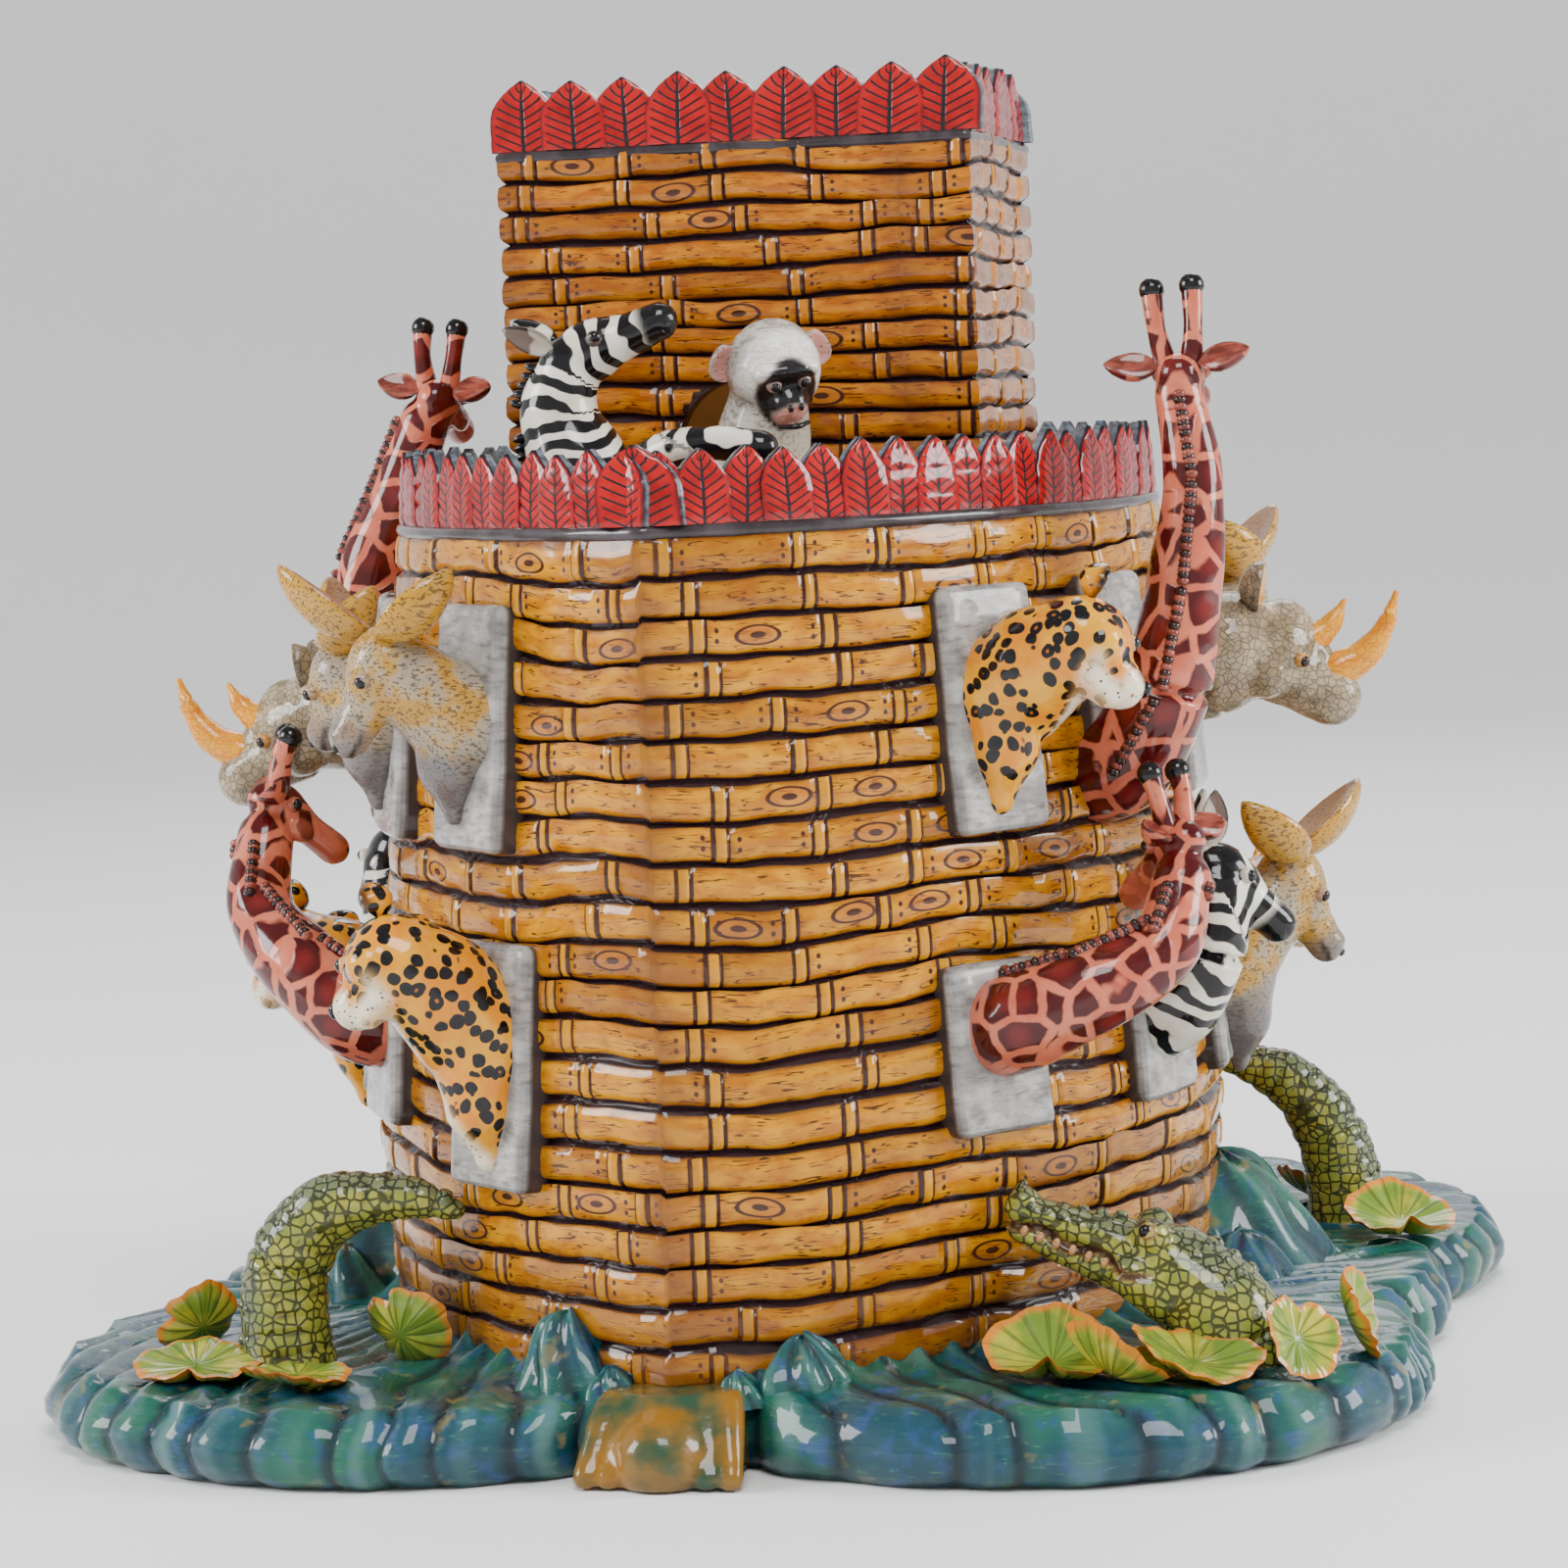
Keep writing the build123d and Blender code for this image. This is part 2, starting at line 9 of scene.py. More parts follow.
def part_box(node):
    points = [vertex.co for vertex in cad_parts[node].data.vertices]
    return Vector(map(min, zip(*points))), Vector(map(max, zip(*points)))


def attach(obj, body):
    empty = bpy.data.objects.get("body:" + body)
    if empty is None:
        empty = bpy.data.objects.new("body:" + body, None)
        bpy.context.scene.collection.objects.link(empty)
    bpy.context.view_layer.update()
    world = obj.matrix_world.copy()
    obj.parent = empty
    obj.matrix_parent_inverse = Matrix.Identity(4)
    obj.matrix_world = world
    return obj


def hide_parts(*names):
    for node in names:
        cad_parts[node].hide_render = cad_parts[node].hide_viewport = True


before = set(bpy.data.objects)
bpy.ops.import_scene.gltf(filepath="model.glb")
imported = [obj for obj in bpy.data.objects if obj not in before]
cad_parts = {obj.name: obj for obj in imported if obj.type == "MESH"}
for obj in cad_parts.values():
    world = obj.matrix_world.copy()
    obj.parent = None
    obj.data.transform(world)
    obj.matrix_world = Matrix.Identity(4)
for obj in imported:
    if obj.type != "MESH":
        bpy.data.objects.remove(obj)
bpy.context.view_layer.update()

MM = 0.001
UP = Vector((0, 0, 1))

# ------------------------------------------------------------ sizes taken from the frame
hull_low, hull_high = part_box("hull_shell")
HALF_LENGTH = hull_high.y
HULL_FOOT, HULL_RIM = hull_low.z, hull_high.z
HALF_BEAM_WIDEST = hull_high.x
WIDEST_HEIGHT = 80 * MM
HALF_BEAM_WATER = HALF_BEAM_WIDEST - 4 * MM
HALF_BEAM_RIM = HALF_BEAM_WIDEST - 15 * MM
HULL_WALL = 8 * MM
cabin_low, cabin_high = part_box("cabin_walls")
DECK_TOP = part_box("deck")[1].z

# ------------------------------------------------------------ how the timber is laid
HULL_COURSES = 21
CABIN_COURSES = 13
SLAT_PROFILE = (  # share of the course's height, how far it stands out
    (0.00, -1.5 * MM),
    (0.15, 0.5 * MM),
    (0.26, 1.2 * MM),
    (0.62, 1.3 * MM),
    (0.90, 0.9 * MM),
)


# ------------------------------------------------------------ working by hand
def deselect():
    bpy.ops.object.select_all(action="DESELECT")


def pick(*objs):
    """Selects only these objects, and makes the first one active."""
    deselect()
    for o in objs:
        o.select_set(True)
    bpy.context.view_layer.objects.active = objs[0]


def named(name):
    o = bpy.context.active_object
    o.name = name
    o.data.name = name
    return o


def points_of(o):
    co = np.empty(len(o.data.vertices) * 3, np.float32)
    o.data.vertices.foreach_get("co", co)
    return co.reshape(-1, 3).astype(float)


def move_points(o, co):
    o.data.vertices.foreach_set("co", np.asarray(co, np.float32).ravel())
    o.data.update()


def mark(o, name, values):
    """A number at each point, for the materials to read."""
    a = o.data.attributes.get(name) or o.data.attributes.new(name, "FLOAT", "POINT")
    a.data.foreach_set("value", np.asarray(values, np.float32))


def mark_vector(o, name, values):
    a = o.data.attributes.get(name) or o.data.attributes.new(name, "FLOAT_VECTOR", "POINT")
    a.data.foreach_set("vector", np.asarray(values, np.float32).ravel())


def outward(o):
    pick(o)
    bpy.ops.object.mode_set(mode="EDIT")
    bpy.ops.mesh.select_all(action="SELECT")
    bpy.ops.mesh.normals_make_consistent(inside=False)
    bpy.ops.object.mode_set(mode="OBJECT")


def smooth(o, angle=40):
    pick(o)
    bpy.ops.object.shade_smooth_by_angle(angle=math.radians(angle))
    return o


def joined(name, objs):
    pick(*objs)
    bpy.ops.object.join()
    return named(name)


def ripple(x, y, z=0.0):
    """A smooth random wave between about -1 and 1."""
    return noise.noise(Vector((x, y, z)))


# ------------------------------------------------------------ hull lines
def half_beam(z):
    if z <= WIDEST_HEIGHT:
        t = (z - HULL_FOOT) / (WIDEST_HEIGHT - HULL_FOOT)
        return HALF_BEAM_WATER + (HALF_BEAM_WIDEST - HALF_BEAM_WATER) * t
    t = (z - WIDEST_HEIGHT) / (HULL_RIM - WIDEST_HEIGHT)
    return HALF_BEAM_WIDEST + (HALF_BEAM_RIM - HALF_BEAM_WIDEST) * t


def side_arc(z):
    beam = half_beam(z)
    radius = (HALF_LENGTH**2 + beam**2) / (2 * beam)
    return beam - radius, radius


def hull_place(round_share, z):
    """A point on the hull's outside and the way out. 0 is the bow, 0.5 the stern, to starboard first."""
    port = round_share >= 0.5
    t = 4 * (round_share - 0.5) - 1 if port else 4 * round_share - 1
    centre, radius = side_arc(z)
    angle = t * math.asin(HALF_LENGTH / radius)
    x, y = centre + radius * math.cos(angle), radius * math.sin(angle)
    if port:
        return Vector((-x, -y, z)), Vector((-math.cos(angle), -math.sin(angle), 0))
    return Vector((x, y, z)), Vector((math.cos(angle), math.sin(angle), 0))


# ------------------------------------------------------------ material building
class Paint:
    """One material, and short ways to add its nodes."""

    def __init__(self, name):
        self.material = bpy.data.materials.new(name)
        self.material.use_nodes = True
        self.nodes = self.material.node_tree.nodes
        self.links = self.material.node_tree.links
        self.shader = self.nodes["Principled BSDF"]

    def node(self, kind, **settings):
        n = self.nodes.new(kind)
        for key, value in settings.items():
            setattr(n, key, value)
        return n

    def put(self, socket, value):
        if isinstance(value, bpy.types.NodeSocket):
            self.links.new(value, socket)
        elif hasattr(value, "__len__") and len(value) == 3 and socket.type == "RGBA":
            socket.default_value = (*value, 1)
        else:
            socket.default_value = value

    def maths(self, operation, a, b=0.0):
        n = self.node("ShaderNodeMath", operation=operation)
        for socket, value in zip(n.inputs, (a, b)):
            self.put(socket, value)
        return n.outputs[0]

    def times(self, a, b):
        return self.maths("MULTIPLY", a, b)

    def plus(self, a, b):
        return self.maths("ADD", a, b)

    def less(self, a, b):
        return self.maths("SUBTRACT", a, b)

    def most(self, a, b):
        return self.maths("MAXIMUM", a, b)

    def size_of(self, a):
        return self.maths("ABSOLUTE", a)

    def from_middle(self, value):
        """How far a share from 0 to 1 lies from a half."""
        return self.size_of(self.less(value, 0.5))

    def repeats(self, value):
        """How far the value is from the middle of its unit."""
        return self.from_middle(self.maths("FRACT", value))

    def length_of(self, x, y):
        return self.maths("SQRT", self.plus(self.maths("POWER", x, 2.0), self.maths("POWER", y, 2.0)))

    def falling(self, value, low, high):
        """Falls smoothly from 1 to 0 as value goes from low to high."""
        return self.step(value, low, high, 1.0, 0.0)

    def step(self, value, low, high, out_low=0.0, out_high=1.0):
        """Rises smoothly from out_low to out_high as value goes from low to high."""
        n = self.node("ShaderNodeMapRange", interpolation_type="SMOOTHSTEP")
        for socket, v in zip(n.inputs, (value, low, high, out_low, out_high)):
            self.put(socket, v)
        return n.outputs[0]

    def mix(self, share, a, b):
        n = self.node("ShaderNodeMix", data_type="RGBA")
        self.put(n.inputs[0], share)
        self.put(n.inputs[6], a)
        self.put(n.inputs[7], b)
        return n.outputs[2]

    def object_place(self, scale=1.0):
        """Object coordinates in millimetres, times scale."""
        coordinate = self.node("ShaderNodeTexCoord").outputs["Object"]
        mapping = self.node("ShaderNodeMapping")
        self.put(mapping.inputs["Vector"], coordinate)
        mapping.inputs["Scale"].default_value = [scale / MM] * 3
        return mapping.outputs[0]

    def number(self, name):
        return self.node("ShaderNodeAttribute", attribute_name=name).outputs["Fac"]

    def vector(self, name):
        return self.node("ShaderNodeAttribute", attribute_name=name).outputs["Vector"]

    def parts(self, vector):
        n = self.node("ShaderNodeSeparateXYZ")
        self.put(n.inputs[0], vector)
        return n.outputs

    def gather(self, x, y, z=0.0):
        n = self.node("ShaderNodeCombineXYZ")
        for socket, v in zip(n.inputs, (x, y, z)):
            self.put(socket, v)
        return n.outputs[0]

    def noise(self, place, scale=1.0, detail=3.0, rough=0.5):
        n = self.node("ShaderNodeTexNoise")
        self.put(n.inputs["Vector"], place)
        n.inputs["Scale"].default_value = scale
        n.inputs["Detail"].default_value = detail
        n.inputs["Roughness"].default_value = rough
        return n.outputs["Fac"]

    def cells(self, place, scale=1.0, feature="F1", randomness=1.0):
        n = self.node("ShaderNodeTexVoronoi", feature=feature)
        self.put(n.inputs["Vector"], place)
        n.inputs["Scale"].default_value = scale
        n.inputs["Randomness"].default_value = randomness
        return n

    def group(self, tree, **values):
        n = self.node("ShaderNodeGroup")
        n.node_tree = tree
        for key, value in values.items():
            self.put(n.inputs[key], value)
        return n.outputs

    def glaze(self, color, height=None, roughness=0.22, depth=0.4 * MM, coat=0.5):
        """The finish all pieces share: painted clay under a thick clear glaze."""
        self.put(self.shader.inputs["Base Color"], color)
        wear = self.group(GLAZE_SKIN, Height=0.0 if height is None else height)
        self.put(self.shader.inputs["Roughness"], self.times(wear["Haze"], roughness))
        self.shader.inputs["Coat Weight"].default_value = coat
        self.shader.inputs["Coat Roughness"].default_value = 0.04
        self.shader.inputs["Specular IOR Level"].default_value = 0.16
        bump = self.node("ShaderNodeBump")
        bump.inputs["Strength"].default_value = 0.8
        bump.inputs["Distance"].default_value = depth
        self.put(bump.inputs["Height"], wear["Height"])
        self.put(self.shader.inputs["Normal"], bump.outputs[0])
        return self.material


def group_tree(name, inputs, outputs):
    tree = bpy.data.node_groups.new(name, "ShaderNodeTree")
    for label, kind in inputs:
        tree.interface.new_socket(label, in_out="INPUT", socket_type=kind)
    for label, kind in outputs:
        tree.interface.new_socket(label, in_out="OUTPUT", socket_type=kind)
    return tree, tree.nodes.new("NodeGroupInput"), tree.nodes.new("NodeGroupOutput")


def glaze_skin_tree():
    """Hand-brushed glaze: the height gets a slow wave, and the gloss varies a little."""
    tree, start, end = group_tree(
        "GlazeSkin",
        [("Height", "NodeSocketFloat")],
        [("Height", "NodeSocketFloat"), ("Haze", "NodeSocketFloat")],
    )
    place = tree.nodes.new("ShaderNodeTexCoord")
    wave = tree.nodes.new("ShaderNodeTexNoise")
    wave.inputs["Scale"].default_value = 130
    wave.inputs["Detail"].default_value = 2
    tree.links.new(place.outputs["Object"], wave.inputs["Vector"])
    total = tree.nodes.new("ShaderNodeMath")
    total.operation = "MULTIPLY_ADD"
    tree.links.new(wave.outputs["Fac"], total.inputs[0])
    total.inputs[1].default_value = 0.7
    tree.links.new(start.outputs["Height"], total.inputs[2])
    tree.links.new(total.outputs[0], end.inputs["Height"])
    haze = tree.nodes.new("ShaderNodeMapRange")
    tree.links.new(wave.outputs["Fac"], haze.inputs[0])
    haze.inputs[3].default_value = 0.7
    haze.inputs[4].default_value = 1.5
    tree.links.new(haze.outputs[0], end.inputs["Haze"])
    return tree


def brush_tree():
    """Uneven hand brushing: a soft patchy mask and a streaky one, in the piece's own place."""
    tree, start, end = group_tree(
        "Brushwork",
        [("Vector", "NodeSocketVector"), ("Size", "NodeSocketFloat")],
        [("Patches", "NodeSocketFloat"), ("Streaks", "NodeSocketFloat")],
    )
    patches = tree.nodes.new("ShaderNodeTexNoise")
    patches.inputs["Detail"].default_value = 4
    streaks = tree.nodes.new("ShaderNodeTexNoise")
    streaks.inputs["Detail"].default_value = 6
    streaks.inputs["Roughness"].default_value = 0.7
    squeeze = tree.nodes.new("ShaderNodeMapping")
    squeeze.inputs["Scale"].default_value = (1, 1, 4)
    tree.links.new(start.outputs["Vector"], squeeze.inputs["Vector"])
    tree.links.new(start.outputs["Vector"], patches.inputs["Vector"])
    tree.links.new(squeeze.outputs[0], streaks.inputs["Vector"])
    tree.links.new(start.outputs["Size"], patches.inputs["Scale"])
    tree.links.new(start.outputs["Size"], streaks.inputs["Scale"])
    tree.links.new(patches.outputs["Fac"], end.inputs["Patches"])
    tree.links.new(streaks.outputs["Fac"], end.inputs["Streaks"])
    return tree


GLAZE_SKIN = glaze_skin_tree()
BRUSHWORK = brush_tree()


# ------------------------------------------------------------ glazes
BROWN_INK = (0.05, 0.014, 0.006)


def timber_glaze(name, light, mid, deep):
    """Planks: attribute lay is (along, height in the course, tone), joint and knot are distances."""
    p = Paint(name)
    along, rise, tone = p.parts(p.vector("lay"))
    joint = p.number("joint")
    grain_place = p.gather(p.times(along, 0.09), p.times(rise, 2.2), p.times(tone, 40))
    brush = p.group(BRUSHWORK, Vector=grain_place, Size=1.3)
    color = p.mix(p.step(brush["Patches"], 0.32, 0.68), mid, light)
    color = p.mix(p.step(tone, 0.45, 1.0, 0.0, 0.5), color, deep)
    color = p.mix(p.step(brush["Streaks"], 0.52, 0.7, 0.0, 0.5), color, deep)
    # painted shade: lighter in the middle of each slat, browner towards its rounded edges
    edge = p.from_middle(rise)
    color = p.mix(p.step(edge, 0.3, 0.47, 0.0, 0.75), color, deep)
    # long thin grain lines, broken up
    lines = p.noise(p.gather(p.times(along, 0.05), p.times(rise, 5.5), p.times(tone, 90)), 1.0, 2.0)
    line = p.repeats(p.times(lines, 5.0))
    broken = p.step(p.noise(grain_place, 2.1, 1.0), 0.45, 0.55)
    grain = p.times(p.falling(line, 0.04, 0.11), broken)
    color = p.mix(p.times(grain, 0.92), color, (0.04, 0.01, 0.003))
    # lozenge knots: rings round a dark eye
    kx, ky, _ = p.parts(p.vector("knot"))
    far = p.length_of(p.times(p.size_of(kx), 0.42), p.size_of(ky))
    eye = p.falling(far, 0.85, 1.15)
    ring = p.falling(p.size_of(p.less(far, 2.7)), 0.18, 0.42)
    inner = p.times(p.falling(far, 2.5, 2.7), 0.45)
    color = p.mix(inner, color, (0.42, 0.13, 0.02))
    color = p.mix(p.most(eye, ring), color, BROWN_INK)
    # pairs of dark strokes with a pale strip between them, and dots beside some
    strip = p.falling(joint, 1.2, 1.7)
    color = p.mix(p.times(strip, 0.75), color, light)
    stroke = p.falling(p.size_of(p.less(joint, 2.1)), 0.4, 0.75)
    inside = p.falling(edge, 0.40, 0.47)
    color = p.mix(p.times(stroke, inside), color, (0.045, 0.012, 0.006))
    dot_rise = p.size_of(p.less(p.size_of(p.less(rise, 0.52)), 0.13))
    dot_far = p.length_of(p.size_of(p.less(joint, 5.2)), p.times(dot_rise, 10.0))
    dots = p.times(p.falling(dot_far, 0.55, 0.8), p.step(p.maths("FRACT", p.times(tone, 17.0)), 0.55, 0.56))
    color = p.mix(dots, color, BROWN_INK)
    # dark grooves, and brown painted shade low down and at the bow and stern
    foot_end_shade = p.step(p.number("foot_end_shade"), 0.0, 1.0, 0.0, 0.72)
    foot_end_shade = p.times(foot_end_shade, p.step(p.noise(p.object_place(0.06), 1.0, 3.0), 0.25, 0.6, 0.35, 1.0))
    color = p.mix(foot_end_shade, color, (0.16, 0.05, 0.012))
    # near-black grooves between courses; at the doorway's cut edge the same mark is painted shade
    groove = p.step(p.number("recess"), 0.22, 0.55)
    color = p.mix(groove, color, (0.022, 0.008, 0.01))
    color = p.mix(p.number("inside"), color, (0.28, 0.12, 0.03))
    height = p.less(p.times(strip, 0.5), p.times(p.plus(stroke, p.times(grain, 0.4)), 0.6))
    return p.glaze(color, height, roughness=0.2, depth=0.5 * MM)


def plain_glaze(name, color_a, color_b, size=0.08, roughness=0.16, low=0.35, high=0.65):
    """Two brushed colours."""
    p = Paint(name)
    brush = p.group(BRUSHWORK, Vector=p.object_place(1.0), Size=size)
    color = p.mix(p.step(brush["Patches"], low, high), color_a, color_b)
    color = p.mix(p.step(brush["Streaks"], 0.55, 0.75, 0.0, 0.35), color, [c * 0.35 for c in color_a])
    return p.glaze(color, brush["Streaks"], roughness)


def leaf_glaze():
    """Red leaves: attribute leaf is (across -1 to 1, up 0 to 1, front), rim is 1 on the edge."""
    p = Paint("leaf_red")
    across, up, front = p.parts(p.vector("leaf"))
    wide = p.size_of(across)
    brush = p.group(BRUSHWORK, Vector=p.object_place(1.0), Size=0.12)
    color = p.mix(p.step(brush["Patches"], 0.35, 0.7), (0.42, 0.002, 0.003), (0.27, 0.001, 0.002))
    color = p.mix(p.step(up, 0.55, 1.0, 0.0, 0.35), color, (0.5, 0.012, 0.006))
    rib = p.falling(wide, 0.035, 0.085)
    vein_at = p.maths("FRACT", p.times(p.less(up, p.times(wide, 0.24)), 8.0))
    vein = p.falling(p.from_middle(vein_at), 0.07, 0.16)
    vein = p.times(vein, p.falling(wide, 0.72, 0.86))
    ink = p.times(p.most(rib, vein), front)
    rim = p.step(p.number("rim"), 0.45, 0.8)
    color = p.mix(p.most(ink, rim), color, (0.012, 0.008, 0.012))
    slate = p.mix(p.step(brush["Streaks"], 0.4, 0.65), (0.05, 0.065, 0.085), (0.16, 0.19, 0.22))
    color = p.mix(p.falling(front, 0.25, 0.75), color, slate)
    return p.glaze(color, p.times(ink, -0.6), roughness=0.15)


def water_glaze():
    """Blue-green glaze that pools dark in the grooves and breaks pale on the ridges."""
    p = Paint("water_teal")
    brush = p.group(BRUSHWORK, Vector=p.object_place(1.0), Size=0.035)
    fine = p.group(BRUSHWORK, Vector=p.object_place(1.0), Size=0.14)
    color = p.mix(p.step(brush["Patches"], 0.38, 0.62), (0.004, 0.05, 0.075), (0.01, 0.1, 0.065))
    color = p.mix(p.step(fine["Patches"], 0.5, 0.72, 0.0, 0.75), color, (0.02, 0.06, 0.19))
    color = p.mix(p.step(fine["Streaks"], 0.56, 0.72, 0.0, 0.6), color, (0.07, 0.24, 0.13))
    ridge = p.number("ridge")
    color = p.mix(p.step(ridge, 0.75, 1.05, 0.0, 0.5), color, (0.12, 0.27, 0.22))
    color = p.mix(p.step(ridge, 0.1, 0.6, 0.9, 0.0), color, (0.002, 0.014, 0.022))
    ochre = p.step(p.noise(p.object_place(0.09), 1.0, 3.0), 0.62, 0.72, 0.0, 0.5)
    color = p.mix(ochre, color, (0.25, 0.2, 0.05))
    return p.glaze(color, fine["Streaks"], roughness=0.14, depth=0.8 * MM)


# ------------------------------------------------------------ laid timber
def sheet(name, columns, rows):
    """A flat grid of columns by rows points, to be laid out one by one. Points run along each row in turn."""
    deselect()
    bpy.ops.mesh.primitive_grid_add(x_subdivisions=columns - 1, y_subdivisions=rows - 1)
    return named(name)


def weld(o, distance=0.01 * MM):
    pick(o)
    bpy.ops.object.mode_set(mode="EDIT")
    bpy.ops.mesh.select_all(action="SELECT")
    bpy.ops.mesh.remove_doubles(threshold=distance)
    bpy.ops.mesh.normals_make_consistent(inside=False)
    bpy.ops.object.mode_set(mode="OBJECT")


def joints_along(length, rng, low=24 * MM, high=46 * MM):
    """Where one course's slats end: uneven lengths."""
    at, found = rng.uniform(0.2, 0.9) * low, []
    while at < length - low * 0.3:
        found.append(at)
        at += rng.uniform(low, high)
    return found


def lay_timber(name, around, courses, low, high, place, length_at, wall, seed, sides):
    """Courses of slats round a closed line. place(share, z) gives a point and the way out."""
    rng = random.Random(seed)
    course_height = (high - low) / courses
    rows = [(c + f, out) for c in range(courses) for f, out in SLAT_PROFILE]
    rows.append((courses - 0.01, 0.0))
    inner_rows = 3
    count = len(rows) + inner_rows + 1
    columns = around + 1
    ring = sheet(name, columns, count)
    side_length = length_at / sides
    slats = []
    for c in range(courses):
        for side in range(sides):
            ends = joints_along(side_length, rng)
            tones = [rng.random() for _ in range(len(ends) + 1)]
            knots = [
                (rng.uniform(0.3, 0.7), rng.uniform(-0.8, 0.8) * MM) if rng.random() < 0.3 else None
                for _ in tones
            ]
            slats.append((ends, tones, knots))
    total = columns * count
    co, lay = np.zeros((total, 3)), np.zeros((total, 3))
    knot = np.full((total, 3), 60.0)
    joint = np.full(total, 60.0)
    recess, inside, foot_end_shade = (np.zeros(total) for _ in range(3))
    for i in range(columns):
        share = i / around % 1
        along = share * length_at
        side, on_side = min(int(share * sides), sides - 1), (share * sides % 1) * side_length
        near_end = min(on_side, side_length - on_side)
        for j, row in enumerate(rows):
            k = j * columns + i
            level, out = row
            c = min(int(level), courses - 1)
            drift = 0
            if 0 < level < courses - 0.05:
                drift = 0.3 * ripple(along * 16, c * 0.3, seed) + 0.12 * ripple(along * 70, c * 1.7, seed + 2)
            z = low + (level + drift) * course_height
            point, way = place(share, z)
            lump = 0.5 * MM * ripple(along * 60, c * 3.1, seed + 5)
            ends, tones, knots = slats[c * sides + side]
            gaps = [abs(on_side - e) for e in ends] or [1.0]
            d = min(gaps)
            n = sum(1 for e in ends if e < on_side)
            start = ends[n - 1] if n else 0.0
            finish = ends[n] if n < len(ends) else side_length
            relief = 0.0
            if out > 0:
                relief = 0.45 * MM * (d < 1.5 * MM) - 0.7 * MM * (1.5 * MM <= d < 2.9 * MM)
                relief += 0.5 * MM * (tones[n] - 0.5)
            co[k] = point + way * (out + lump + relief)
            lay[k] = (along / MM, level - c, tones[n])
            joint[k] = d / MM
            if knots[n] and finish - start > 22 * MM:
                at = start + knots[n][0] * (finish - start)
                rise = (level - c - 0.5) * course_height - knots[n][1]
                knot[k] = ((on_side - at) / MM, rise / MM, 0)
            recess[k] = 1.0 if out < 0 else (0.3 if level - c > 0.85 else 0.0)
            # painted shade: darker on the lowest fifth of the wall and near the ends of each side
            foot = max(0.0, 1 - (z - low) / (high - low) * 5)
            corner = max(0.0, 1 - near_end / (14 * MM))
            foot_end_shade[k] = max(foot, 0.8 * corner)
        for extra, (z, depth) in enumerate(((high, wall * 0.5), (high - 2 * MM, wall), (low, wall))):
            k = (len(rows) + extra) * columns + i
            point, way = place(share, z)
            co[k] = point - way * depth
            inside[k] = 1.0
        co[(count - 1) * columns + i] = co[i]
        inside[(count - 1) * columns + i] = 1.0
    move_points(ring, co)
    mark_vector(ring, "lay", lay)
    mark_vector(ring, "knot", knot)
    for label, values in (("joint", joint), ("recess", recess), ("inside", inside), ("foot_end_shade", foot_end_shade)):
        mark(ring, label, values)
    weld(ring)
    return smooth(ring, 50)


def hull_timber():
    return lay_timber(
        "hull_planks", 720, HULL_COURSES, HULL_FOOT, HULL_RIM - 3 * MM, hull_place,
        0.93, HULL_WALL, 11, 2,
    )


# ------------------------------------------------------------ camera and studio
CAMERA_TURN, CAMERA_ROLL = math.radians(12.5), math.radians(2.3)
CAMERA_AWAY, CAMERA_HIGH = 1.5, 0.304
CAMERA_LENS = 108
PICTURE, LOOK_DOWN, LOOK_LEFT = 1600, 400, 10  # the frame's width, and how far the view is shifted in it
LAMPS = (  # place, size, power
    ((-1.7, -0.7, 0.9), 0.8, 38),
    ((1.8, 0.1, 0.8), 0.8, 38),
    ((0.5, -1.6, 2.3), 1.1, 52),
    ((0.0, 1.8, 2.0), 1.4, 30),
)


